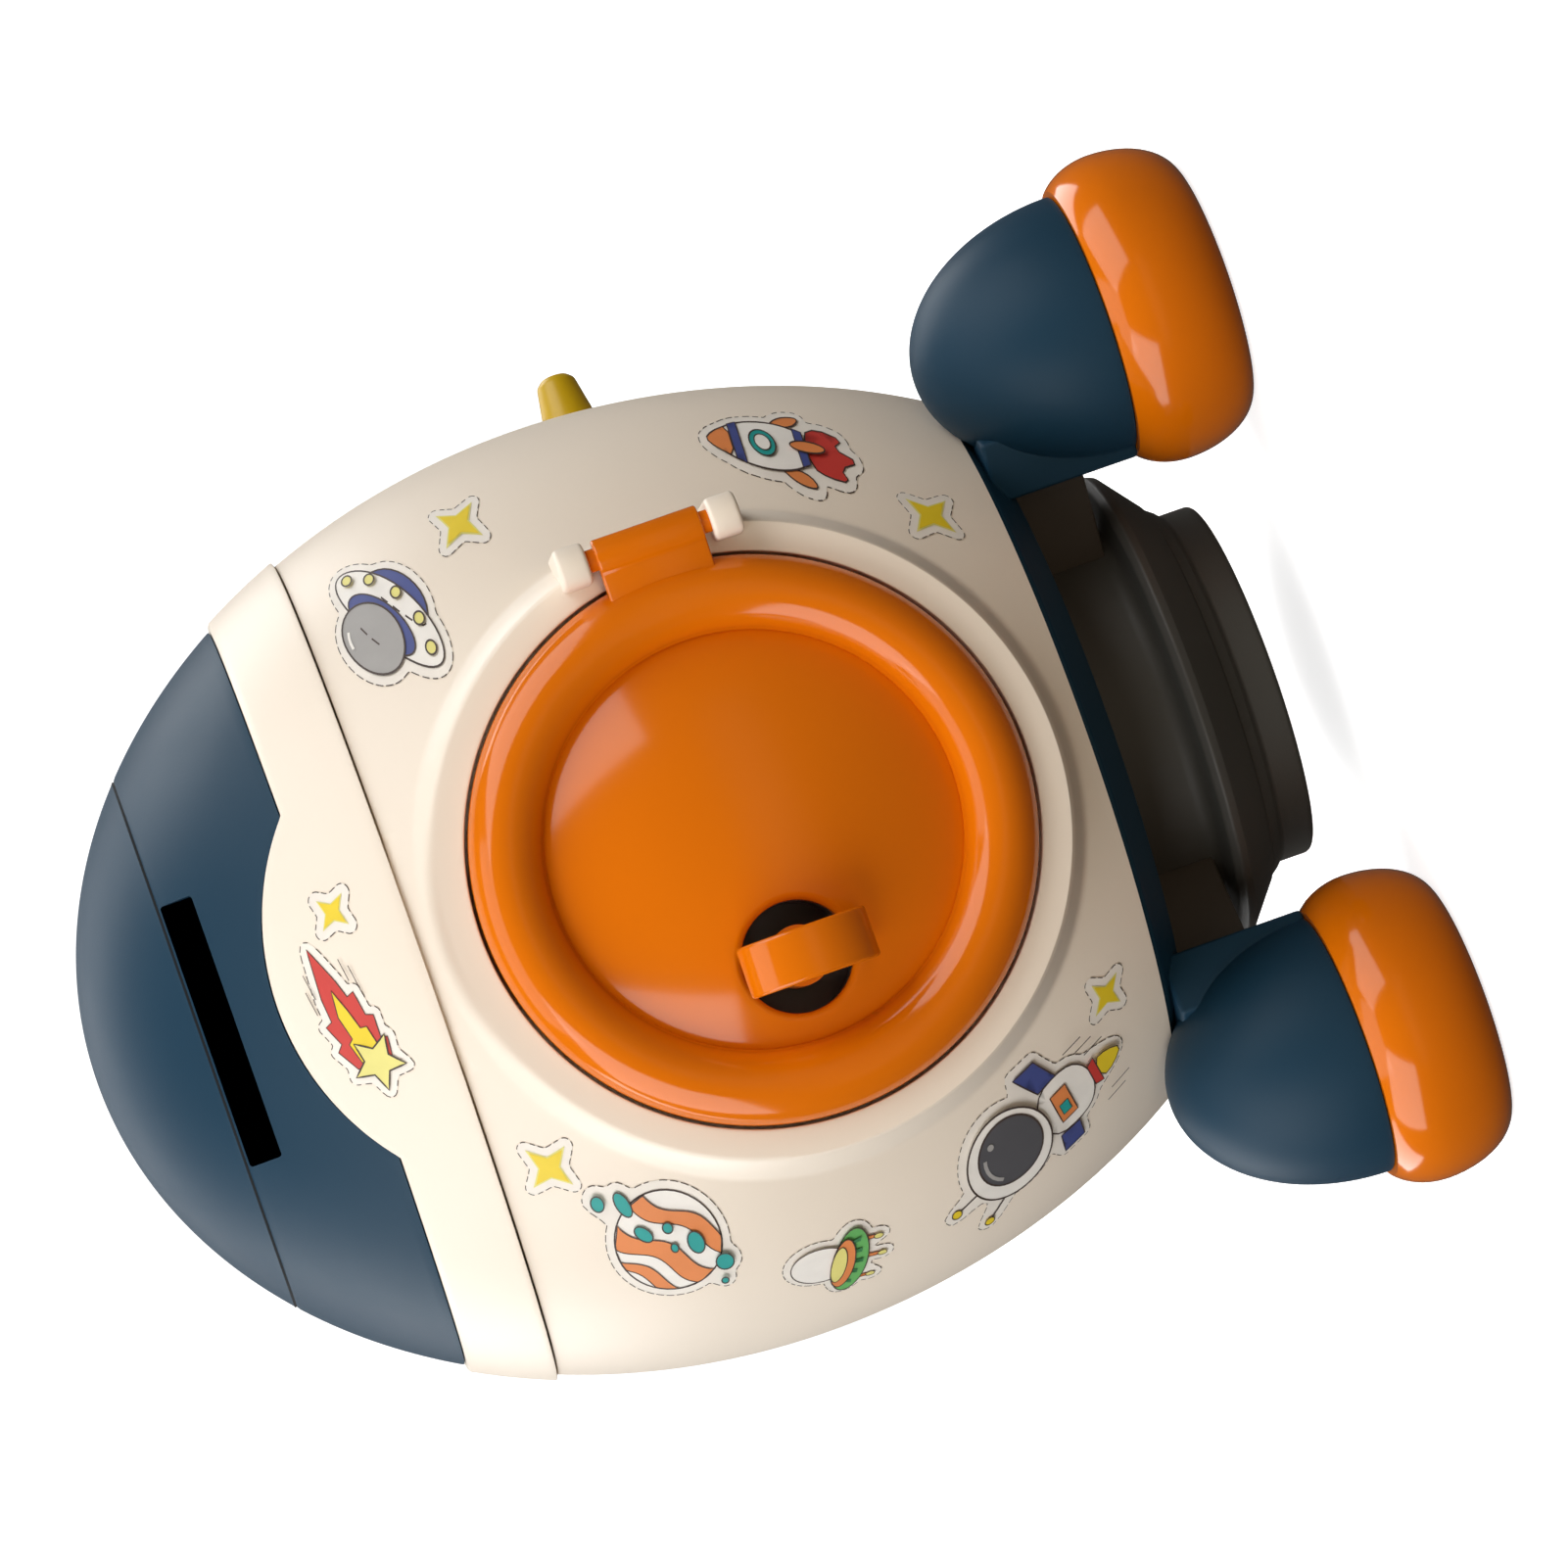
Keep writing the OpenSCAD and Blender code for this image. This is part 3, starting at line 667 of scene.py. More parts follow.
cap_low = seam_z + 0.2 * MM
cap_path = outline(cap_low + 0.5 * MM, tip_z, 0, 60)
cap_path[-1] = (0, tip_z)
cap_path = [(body_rad(cap_low, wall), cap_low), (body_rad(cap_low, 0.45 * MM), cap_low),
            (body_rad(cap_low, 0.12 * MM), cap_low + 0.2 * MM)] + cap_path
inner_cap = outline(cap_low, tip_z - wall, wall, 30)[::-1]
inner_cap[0] = (0, tip_z - wall)
stands_for(lathe("nose_top", cap_path + inner_cap[:-1], NAVY), "body", "navy_plastic", "nose_cap")


# ---------------- base, legs, feet, nozzle
base_lo, base_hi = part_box("base_dish")
base_r = base_hi[0]
base_low_r = base_r - 7 * MM
skirt_r = base_r - 15 * MM
base_path = fillet([
    (0, floor_z - 0.02 * MM), (0, floor_z - 2.4 * MM), (skirt_r, floor_z - 2.4 * MM, 0.4 * MM),
    (skirt_r, base_lo[2], 0.5 * MM), (base_low_r, base_lo[2], 1.2 * MM),
    (base_r - 0.4 * MM, floor_z - 0.9 * MM, 0.5 * MM), (base_r - 0.4 * MM, floor_z - 0.02 * MM)])
stands_for(lathe("base", base_path, NAVY), "body", "navy_plastic", "base_dish")

foot_lo, foot_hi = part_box("foot_rear")
leg_r = (foot_lo[1] + foot_hi[1]) / 2
foot_h = foot_hi[2] - 3 * MM
foot_bulge = 4.1 * MM
foot_edge = 7 * MM
pod_r = (foot_hi[0] - foot_lo[0]) / 2 - foot_bulge
pod_h = 29 * MM
pod_wall = 2.2 * MM
web_half_w = 13 * MM
web_out_half_w = 12 * MM
LEGS = {"left": -60, "right": 60, "rear": 180}


def quarter(r, z, height, n):
    """Outline of a bullet from just over its widest ring to its tip."""
    angles = [math.pi / 2 * k / n for k in range(1, n + 1)]
    points = [(r * math.cos(a), z + height * math.sin(a)) for a in angles]
    points[-1] = (0, points[-1][1])
    return points


def leg_piece(name, angle):
    """Bullet pod and the web that joins it to the base, drawn along -Y and turned."""
    low = foot_h + 0.06 * MM
    outer = quarter(pod_r, foot_h, pod_h, 40)
    path = fillet([(pod_r - pod_wall, low + 1.0 * MM), (pod_r - pod_wall, low, 0.3 * MM),
                   (pod_r - 0.02 * MM, low, 0.3 * MM), outer[0]], closed=False) + outer[1:]
    path += quarter(pod_r - pod_wall, low + 1.2 * MM, pod_h - 3.6 * MM, 20)[::-1]
    pod = lathe("pod", path, NAVY, 128, place=turn(angle) @ move(0, -leg_r, 0))
    web_to = -leg_r + 8 * MM
    web = prism("web", [(-web_half_w, -base_low_r), (web_half_w, -base_low_r),
                        (web_out_half_w, web_to), (-web_out_half_w, web_to)],
                base_lo[2] + 3.4 * MM - low, NAVY, turn(angle) @ move(0, 0, low), 0.7 * MM, 3)
    return join(name, [pod, web])


def foot_piece(name, angle):
    """Foot like a flattened ball, open below for its screw."""
    mid, upper, core = foot_h * 0.6, foot_h * 0.475, pod_r + foot_bulge - foot_edge
    outer = []
    n = 44
    for i in range(n + 1):
        t = math.radians(-90 + 180 * i / n)
        z = mid + (mid if t < 0 else upper) * math.sin(t)
        if z > foot_h - 0.15 * MM:
            break
        outer.append((core + foot_edge * math.cos(t), z))
    path = [(0, 6 * MM), (3.3 * MM, 6 * MM), (3.3 * MM, 0.4 * MM), (3.7 * MM, 0)] + outer
    path += [(outer[-1][0] - 0.4 * MM, foot_h - 0.02 * MM), (0, foot_h - 0.02 * MM)]
    return lathe(name, path, ORANGE, 160, place=turn(angle) @ move(0, -leg_r, 0))


def strut_piece(name, angle):
    """Block from a leg's web to the nozzle's neck."""
    low, high, inner, half_w = 28 * MM, 40 * MM, neck - 0.6 * MM, 5 * MM
    across = Matrix(((0, 0, 1, -half_w), (-1, 0, 0, 0), (0, 1, 0, 0), (0, 0, 0, 1)))
    return prism(name, [(base_low_r, low), (base_low_r, high), (inner, high), (inner, low)],
                 2 * half_w, TAUPE, turn(angle) @ across, 0.5 * MM, 3)


nozzle_lo, nozzle_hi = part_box("nozzle")
shoulder = nozzle_hi[0]
end_r = shoulder - 9.8 * MM
neck = shoulder - 7 * MM
bottom = nozzle_lo[2]
nozzle_wall = 2.2 * MM
for side, angle in LEGS.items():
    stands_for(leg_piece("leg_" + side + "_skin", angle), "body", "navy_plastic", "leg_" + side)
    stands_for(foot_piece("foot_" + side + "_skin", angle), "body", "orange_plastic", "foot_" + side)
    stands_for(strut_piece("strut_" + side + "_skin", angle), "body", "taupe_plastic", "strut_" + side)

nozzle_path = fillet([
    (neck, nozzle_hi[2]), (neck, bottom + 16.8 * MM, 2.6 * MM),
    (shoulder - 1.2 * MM, bottom + 15.9 * MM, 1.4 * MM),
    (shoulder, bottom + 14.8 * MM, 0.6 * MM), (shoulder - 0.5 * MM, bottom + 13.4 * MM, 0.8 * MM),
    (end_r + 2.9 * MM, bottom + 8.2 * MM, 0.5 * MM), (end_r + 2.2 * MM, bottom + 7.9 * MM, 0.4 * MM),
    (end_r + 0.9 * MM, bottom + 6.2 * MM, 0.6 * MM),
    (end_r, bottom + 5.4 * MM, 0.8 * MM), (end_r, bottom, 0.9 * MM),
    (end_r - nozzle_wall, bottom, 0.9 * MM), (end_r - nozzle_wall, bottom + 6 * MM),
    (shoulder - 3.3 * MM, bottom + 14 * MM), (neck - nozzle_wall, bottom + 15.4 * MM),
    (neck - nozzle_wall, nozzle_hi[2])])
stands_for(lathe("nozzle_skin", nozzle_path, CHARCOAL), "body", "charcoal_plastic", "nozzle")


# ---------------- door
rim_r = 5.6 * MM
rim_mid = door_r - rim_r
dome_r = rim_mid - rim_r - 0.4 * MM
door_wall = 2.2 * MM
dome_edge = 0.8 * MM
dome_rise = 6.6 * MM
dome_top = dome_edge + dome_rise
dome_ball = (dome_r ** 2 + dome_rise ** 2) / (2 * dome_rise)
latch_x = (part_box("latch_cup")[0][0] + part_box("latch_cup")[1][0]) / 2
hole_r = 8.4 * MM
hole_round = 1.3 * MM


def dome_at(r):
    return dome_top - dome_ball + math.sqrt(dome_ball ** 2 - r * r)


def dome_height(x, y):
    """Dome with its hole's edge rounded inward."""
    z = dome_at(math.hypot(x, y))
    off = math.hypot(x - latch_x, y)
    if off < hole_r + hole_round:
        t = min(1.0, max(0.0, (hole_r + hole_round - off) / hole_round))
        z -= hole_round * (1 - math.sqrt(max(0.0, 1 - t * t)))
    return z


def door_dome():
    """The domed middle, a triangulated sheet that follows the hole, then its wall."""
    count = 96
    hole_rings = [hole_r + hole_round * (1 - math.cos(math.pi / 2 * k / 8)) for k in range(9)]
    hole_rings += [hole_r + hole_round + 0.7 * MM * k for k in (1, 2, 3)]
    coords = [p for rho in hole_rings for p in circle(rho, count, latch_x)]
    keep_out = hole_rings[-1] + 0.7 * MM
    rings, around = 26, 192
    edge_start = len(coords)
    coords += circle(dome_r, around)
    for i in range(1, rings):
        r = dome_r * i / rings
        n = max(12, int(around * i / rings / 2) * 2)
        for k in range(n):
            a = 2 * math.pi * (k + 0.5 * (i % 2)) / n
            x, y = r * math.cos(a), r * math.sin(a)
            if math.hypot(x - latch_x, y) > keep_out:
                coords.append((x, y))
    coords.append((0, 0))
    edges = [(k, (k + 1) % count) for k in range(count)]
    edges += [(edge_start + k, edge_start + (k + 1) % around) for k in range(around)]
    out = delaunay_2d_cdt([Vector(c) for c in coords], edges, [], 0, 1e-8, False)
    verts = [Vector((p.x, p.y, dome_height(p.x, p.y))) for p in out[0]]
    faces = []
    for f in out[2]:
        cx = sum(out[0][i].x for i in f) / 3
        cy = sum(out[0][i].y for i in f) / 3
        if math.hypot(cx - latch_x, cy) < hole_r * 0.9995:
            continue
        faces.append(tuple(f))
    # the hole's wall below its rounded edge
    start = len(verts)
    top = [min(range(len(out[0])), key=lambda i, k=k: (
        out[0][i] - Vector(coords[k])).length_squared) for k in range(count)]
    for depth in (1.2, 2.2):
        for k in range(count):
            p = verts[top[k]]
            verts.append(Vector((p.x, p.y, p.z - depth * MM)))
    for k in range(count):
        j = (k + 1) % count
        faces.append((top[k], top[j], start + j, start + k))
        faces.append((start + k, start + j, start + count + j, start + count + k))
    verts = [ON_PAD @ v for v in verts]
    return make("dome", verts, faces, ORANGE, 60)


def door_rim():
    """Rounded rim with the groove that meets the dome, its skirt and its inside."""
    def bead(r, n):
        angles = [math.radians(168 * i / n) for i in range(n + 1)]
        return [(rim_mid + r * math.cos(t), r * math.sin(t)) for t in angles]

    path = [(dome_r, dome_edge), (dome_r + 0.25 * MM, dome_edge - 0.18 * MM), *bead(rim_r, 44)[::-1]]
    path += fillet([(door_r, 0), (door_r, -skirt + 0.02 * MM, 0.5 * MM),
                    (door_r - 2.1 * MM, -skirt + 0.02 * MM, 0.4 * MM), (door_r - 2.1 * MM, 0)],
                   closed=False)[1:]
    path += bead(rim_r - door_wall, 12)
    path += [(dome_r + 2.0 * MM, -door_wall), (dome_r, dome_edge - door_wall)]
    return lathe("rim", path, ORANGE, RING, closed=False, place=ON_PAD, sharp=60)


door = join("door_skin", [door_rim(), door_dome()])
stands_for(door, "door", "orange_plastic", "door_panel")

# hinge leaf: a plate that leaves the rim and rolls round the pin
barrel_r = 2.9 * MM
leaf_outline = [(leaf_lo[0], -pad_front - 0.5 * MM), (leaf_lo[0], pin_y)]
for k in range(31):
    a = math.radians(-150 + 260 * k / 30)
    leaf_outline.append((pin_x + barrel_r * math.cos(a), pin_y + barrel_r * math.sin(a)))
leaf = prism("leaf", leaf_outline, leaf_hi[2] - leaf_lo[2], ORANGE, move(0, 0, leaf_lo[2]),
             0.35 * MM, 3)
stands_for(leaf, "door", "orange_plastic", "hinge_leaf")

# ---------------- latch handle
handle_lo, handle_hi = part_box("latch_handle")
stem_r = 4.6 * MM
handle_w = 7.9 * MM
handle_from = dome_top + 0.3 * MM
handle_to = -pad_front - handle_lo[1]
half_l = (handle_hi[2] - handle_lo[2]) / 2
handle_mid = (handle_hi[2] + handle_lo[2]) / 2 - door_z
arch_from = handle_from + 1.6 * MM
side_view = [(-half_l, handle_from)]
for k in range(25):
    t = math.pi - math.pi * k / 24
    side_view.append((half_l * math.cos(t), arch_from + (handle_to - arch_from) * math.sin(t)))
side_view.append((half_l, handle_from))
grip = prism("grip", side_view, handle_w, ORANGE,
             ON_PAD @ move(latch_x - handle_w / 2, handle_mid, 0)
             @ Matrix(((0, 0, 1, 0), (1, 0, 0, 0), (0, 1, 0, 0), (0, 0, 0, 1))), 0.55 * MM, 4)
cam_front = -skirt - 3.4 * MM
stem_top = handle_from + 0.6 * MM
stem = lathe("stem", [(0, cam_front), (stem_r, cam_front), (stem_r, stem_top), (0, stem_top)], ORANGE, 64,
             place=ON_PAD @ move(latch_x, 0, 0))
stands_for(join("handle_skin", [grip, stem]), "latch", "orange_plastic", "latch_handle")

# ---------------- side knob
knob_lo, knob_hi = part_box("side_knob")
knob_z = (knob_lo[2] + knob_hi[2]) / 2
knob_r = (knob_hi[2] - knob_lo[2]) / 2
knob_base = body_rad(knob_z) + 0.4 * MM
knob_end = knob_base + 8.8 * MM
knob_path = [(0, knob_base), *fillet([(0, knob_base), (knob_r, knob_base, 0.5 * MM),
             (knob_r * 0.93, knob_base + 1.2 * MM, 0.6 * MM),
             (knob_r * 0.68, knob_end - 1.0 * MM, 1.2 * MM), (knob_r * 0.45, knob_end, 1.0 * MM),
             (0, knob_end)], closed=False)[1:]]
ON_KNOB = turn(10) @ move(0, 0, knob_z) @ turn(90, "Y")
knob = lathe("knob_skin", knob_path, YELLOW, 96, place=ON_KNOB)
spindle_r, spindle_from, spindle_to = 2.5 * MM, 63.2 * MM, knob_base + 0.3 * MM
spindle = lathe("spindle", fillet([(0, spindle_from), (spindle_r, spindle_from, 0.3 * MM),
                                   (spindle_r, spindle_to), (0, spindle_to)]),
                YELLOW, 48, place=ON_KNOB)
stands_for(join("knob_skin", [knob, spindle]), "knob", "yellow_plastic", "side_knob")


# ---------------- stickers
INKS = {name: plastic("ink_" + name, colour, 0.5, shade=0.05, grain=0.04, mottle_scale=160)
        for name, colour in {
            "paper": (0.84, 0.79, 0.72), "dark": (0.055, 0.035, 0.028), "white": (0.86, 0.83, 0.78),
            "yellow": (0.80, 0.60, 0.02), "lemon": (0.76, 0.70, 0.22), "orange": (0.74, 0.24, 0.07),
            "red": (0.58, 0.045, 0.035), "teal": (0.015, 0.33, 0.31), "green": (0.13, 0.44, 0.12),
            "leaf": (0.04, 0.20, 0.07), "blue": (0.055, 0.075, 0.26), "grey": (0.36, 0.35, 0.34),
            "slate": (0.085, 0.085, 0.095)}.items()}
LAYER = 0.028 * MM       # one printed layer over the next


def turned(points, degrees, x=0.0, y=0.0):
    c, s = math.cos(math.radians(degrees)), math.sin(math.radians(degrees))
    return [(x + p[0] * c - p[1] * s, y + p[0] * s + p[1] * c) for p in points]


def oval(x, y, rx, ry=None, degrees=0, n=32):
    ry = rx if ry is None else ry
    ring = [(rx * math.cos(2 * math.pi * k / n), ry * math.sin(2 * math.pi * k / n))
            for k in range(n)]
    return turned(ring, degrees, x, y)


def arc(x, y, rx, ry, angles):
    return [(x + rx * math.cos(math.radians(t)), y + ry * math.sin(math.radians(t))) for t in angles]


def star(x, y, outer, inner, tips, degrees=0):
    ring = []
    for k in range(2 * tips):
        a = math.pi * k / tips
        r = outer if k % 2 == 0 else inner
        ring.append((r * math.cos(a), r * math.sin(a)))
    return turned(ring, degrees, x, y)


def smooth(points, rounds=2):
    """Corner cutting, for a soft closed outline."""
    for _ in range(rounds):
        cut_points = []
        for a, b in zip(points, points[1:] + points[:1]):
            cut_points.append((0.75 * a[0] + 0.25 * b[0], 0.75 * a[1] + 0.25 * b[1]))
            cut_points.append((0.25 * a[0] + 0.75 * b[0], 0.25 * a[1] + 0.75 * b[1]))
        points = cut_points
    return points


def divided(points, step, closed=True):
    """The path with no stretch longer than step."""
    out = []
    ends = points[1:] + (points[:1] if closed else [])
    for a, b in zip(points, ends):
        n = max(1, math.ceil(math.dist(a, b) / step))
        out += [(a[0] + (b[0] - a[0]) * k / n, a[1] + (b[1] - a[1]) * k / n) for k in range(n)]
    return out if closed else out + [points[-1]]


def inside(p, ring):
    odd = False
    for a, b in zip(ring, ring[1:] + ring[:1]):
        if (a[1] > p[1]) != (b[1] > p[1]):
            if p[0] < a[0] + (b[0] - a[0]) * (p[1] - a[1]) / (b[1] - a[1]):
                odd = not odd
    return odd


def halo(rings, margin, n=150):
    """Die-cut outline: the farthest reach in each direction of all points grown by margin."""
    points = [p for ring in rings for p in divided(ring, 0.8)]
    cx = sum(p[0] for p in points) / len(points)
    cy = sum(p[1] for p in points) / len(points)
    reach = []
    for k in range(n):
        a = 2 * math.pi * k / n
        far = margin
        for x, y in points:
            along = (x - cx) * math.cos(a) + (y - cy) * math.sin(a)
            across = -(x - cx) * math.sin(a) + (y - cy) * math.cos(a)
            if abs(across) < margin:
                far = max(far, along + math.sqrt(margin ** 2 - across ** 2))
        reach.append(far)
    soft = [(reach[k - 1] + 2 * reach[k] + reach[(k + 1) % n]) / 4 for k in range(n)]
    return [(cx + far * x, cy + far * y) for far, (x, y) in zip(soft, circle(1, n))]


class Sticker:
    """Printed layers laid on the body, drawn in millimetres about the sticker's middle."""

    def __init__(self, name, azimuth, height, degrees=0, wide=1.0, stands_out=0.0):
        self.name, self.degrees, self.wide = name, degrees, wide
        self.phi, self.z, self.out = math.radians(azimuth), height * MM, stands_out
        self.verts, self.faces, self.slots = [], [], []
        self.rings, self.colours, self.level = [], [], 0
        self.queue = []

    def place(self, p, level):
        x, y = turned([p], self.degrees)[0]
        z = self.z + y * MM
        r = body_rad(z)
        phi = self.phi + x * MM * self.wide / body_rad(self.z)
        spot = skin_point(phi, z) if not self.out else Vector((r * math.sin(phi), -r * math.cos(phi), z))
        slope = (body_rad(z + MM) - body_rad(z - MM)) / (2 * MM)
        normal = Vector((math.sin(phi), -math.cos(phi), -slope)).normalized()
        return spot + normal * (self.out + 0.07 * MM + level * LAYER)

    def add(self, points, faces, colour, level):
        start = len(self.verts)
        self.verts += [self.place(p, level) for p in points]
        if colour not in self.colours:
            self.colours.append(colour)
        for face in faces:
            self.faces.append(tuple(start + i for i in face))
            self.slots.append(self.colours.index(colour))

    def area(self, ring, colour, level):
        ring = divided(ring, 1.2)
        n = len(ring)
        xs, ys = [p[0] for p in ring], [p[1] for p in ring]
        grid = []
        step = 2.2
        for i in range(int((max(xs) - min(xs)) / step) + 1):
            for j in range(int((max(ys) - min(ys)) / step) + 1):
                p = (min(xs) + (i + 0.5) * step, min(ys) + (j + 0.5) * step)
                if inside(p, ring) and min(math.dist(p, q) for q in ring) > 0.7:
                    grid.append(p)
        out = delaunay_2d_cdt([Vector(p) for p in ring + grid],
                              [(k, (k + 1) % n) for k in range(n)], [], 0, 1e-6, False)
        faces = []
        for face in out[2]:
            middle = sum((out[0][i] for i in face), Vector((0, 0))) / len(face)
            if inside(middle, ring):
                faces.append(face)
        self.add([(p.x, p.y) for p in out[0]], faces, colour, level)

    def stroke(self, path, width, colour, level, closed=True):
        path = divided(path, 1.2, closed)
        n = len(path)
        points, faces = [], []
        for k, p in enumerate(path):
            a = path[k - 1] if closed or k else p
            b = path[(k + 1) % n] if closed or k < n - 1 else p
            d = Vector((b[0] - a[0], b[1] - a[1]))
            d = d.normalized() if d.length > 1e-9 else Vector((1, 0))
            points.append((p[0] - d.y * width / 2, p[1] + d.x * width / 2))
            points.append((p[0] + d.y * width / 2, p[1] - d.x * width / 2))
        for k in range(n if closed else n - 1):
            i, j = 2 * k, 2 * ((k + 1) % n)
            faces.append((i, i + 1, j + 1, j))
        self.add(points, faces, colour, level)

    def fill(self, ring, colour, line=0.24):
        self.rings.append(ring)
        self.queue.append(("fill", ring, colour, line))

    def line(self, path, width=0.2, colour="dark", closed=False):
        self.queue.append(("line", path, colour, width, closed))

    def finish(self, margin=1.3, dash=0.9):
        edge = halo(self.rings, margin)
        self.area(edge, "paper", 0)
        trim = divided(edge, 0.45)
        gap, run = 0.0, []
        for a, b in zip(trim, trim[1:] + trim[:1]):
            gap += math.dist(a, b)
            run.append(a)
            if gap > dash:
                if len(run) > 1:
                    self.stroke(run, 0.13, "dark", 1, closed=False)
                run, gap = [], -0.35
            elif gap < 0:
                run = []
        level = 2
        for item in self.queue:
            if item[0] == "fill":
                self.area(item[1], item[2], level)
                if item[3] > 0:
                    self.stroke(item[1], item[3], "dark", level + 1)
            else:
                self.stroke(item[1], item[3], item[2], level, item[4])
            level += 2
        mesh = bpy.data.meshes.new(self.name)
        mesh.from_pydata([tuple(v) for v in self.verts], [], self.faces)
        for colour in self.colours:
            mesh.materials.append(INKS[colour])
        mesh.polygons.foreach_set("material_index", self.slots)
        for polygon in mesh.polygons:
            polygon.use_smooth = True
        turn_outward(mesh)
        stands_for(link(self.name, mesh), "body", "cream_plastic")


def turn_outward(mesh):
    """Every face looks away from the body's axis."""
    bm = bmesh.new()
    bm.from_mesh(mesh)
    bm.normal_update()
    inward = [f for f in bm.faces if f.normal.dot(Vector((*f.calc_center_median().xy, 0))) < 0]
    bmesh.ops.reverse_faces(bm, faces=inward)
    bm.to_mesh(mesh)
    bm.free()


def comet():
    art = Sticker("sticker_comet", -4.8, 163.6, 11, 1.12, collar_proud)
    art.fill([(-6.4, 2.8), (-3.2, 4.2), (-2.4, 3.2), (0.6, 4.0), (0.9, 2.9), (4.2, 2.6), (11.2, 0.9),
              (5.4, -0.5), (2.8, -0.9), (3.0, -2.0), (-0.4, -2.0), (-0.9, -3.0), (-3.8, -2.4),
              (-4.2, -3.3), (-6.6, -2.6)], "red", 0.14)
    art.fill([(-5.8, 1.8), (-2.9, 2.2), (-2.4, 1.4), (1.0, 1.7), (4.6, 0.7), (1.2, 0.0), (-1.6, -0.4),
              (-1.8, -1.3), (-5.6, -1.6)], "yellow", 0.14)
    art.fill(star(-6.6, -0.3, 4.0, 1.9, 5, 100), "lemon")
    for x, y, size in ((2.6, 4.1, 3.6), (4.6, 3.2, 3.8), (2.0, -3.2, 4.2), (4.4, -2.4, 3.2)):
        art.line([(x, y), (x + size, y - 0.1)], 0.12)
    art.finish(1.1)


def sparkle(name, azimuth, height, size, degrees, stands_out=0.0, wide=1.2):
    art = Sticker(name, azimuth, height, degrees, wide, stands_out)
    art.fill(star(0, 0, size, size * 0.40, 4), "lemon", 0.0)
    art.fill(star(0, 0, size * 0.84, size * 0.34, 4), "yellow", 0.0)
    art.finish(1.15)


def banded_planet():
    art = Sticker("sticker_planet", -46.0, 130.0, 0, 1.42)
    radius = 7.9
    art.fill(oval(0, 0, radius, n=48), "white")

    def band(low, high, sway, shift):
        edge = []
        for k in range(25):
            t = -radius + 2 * radius * k / 24
            edge.append((low + sway * math.sin(0.55 * t + shift), t))
        for k in range(24, -1, -1):
            t = -radius + 2 * radius * k / 24
            edge.append((high + sway * math.sin(0.55 * t + shift + 0.5), t))
        edge = turned(edge, -38)
        return [p if math.hypot(*p) < radius - 0.1 else
                (p[0] * (radius - 0.1) / math.hypot(*p), p[1] * (radius - 0.1) / math.hypot(*p))
                for p in edge]

    for low, high, shift in ((-7.4, -5.6, 0.4), (-3.6, -0.6, 1.2), (2.7, 5.2, 2.2)):
        art.fill(band(low, high, 0.8, shift), "orange", 0.16)
    for x, y, rx, ry, degrees in (
            (7.0, 4.9, 1.9, 1.0, 18), (2.3, 3.2, 1.5, 0.95, 42), (-0.6, -0.7, 0.7, 0.55, 0),
            (2.6, -0.5, 0.8, 0.75, 0), (-0.4, -4.0, 1.75, 1.2, 8), (7.9, 8.4, 1.1, 0.95, 0),
            (-4.4, -7.4, 1.35, 1.35, 0), (-7.6, -6.7, 0.55, 0.55, 0)):
        art.fill(oval(x, y, rx, ry, degrees, 20), "teal", 0.2)
    art.finish(1.3)


def striped_saucer():
    art = Sticker("sticker_green_saucer", -58.6, 105.3, -16, 1.15)
    for x, y, size in ((-5.0, -3.6, 3.4), (0.2, -4.6, 3.6), (4.6, -3.4, 3.4)):
        art.fill([(x - 0.45, y + size * 0.5), (x + 0.45, y + size * 0.5), (x + 0.35, y - size * 0.5),
                  (x - 0.35, y - size * 0.5)], "orange", 0.14)
        art.fill(oval(x, y - size * 0.55, 0.55, 0.8, n=16), "lemon", 0.14)
    art.fill(oval(0, 3.4, 4.0, 5.0, n=36), "white", 0.18)
    art.fill(oval(0, -1.2, 7.4, 2.9, n=40), "green", 0.2)
    for x in (-5.2, -2.6, 0, 2.6, 5.2):
        art.fill([(x * 0.8 - 0.3, 0.4), (x * 0.8 + 0.3, 0.4), (x + 0.45, -3.3 + abs(x) * 0.22),
                  (x - 0.45, -3.3 + abs(x) * 0.22)], "leaf", 0.0)
    art.fill(oval(0, 0.1, 5.6, 1.9, n=36), "orange", 0.2)
    art.fill(oval(0, 0.8, 4.1, 1.25, n=30), "lemon", 0.16)
    art.finish(1.2)


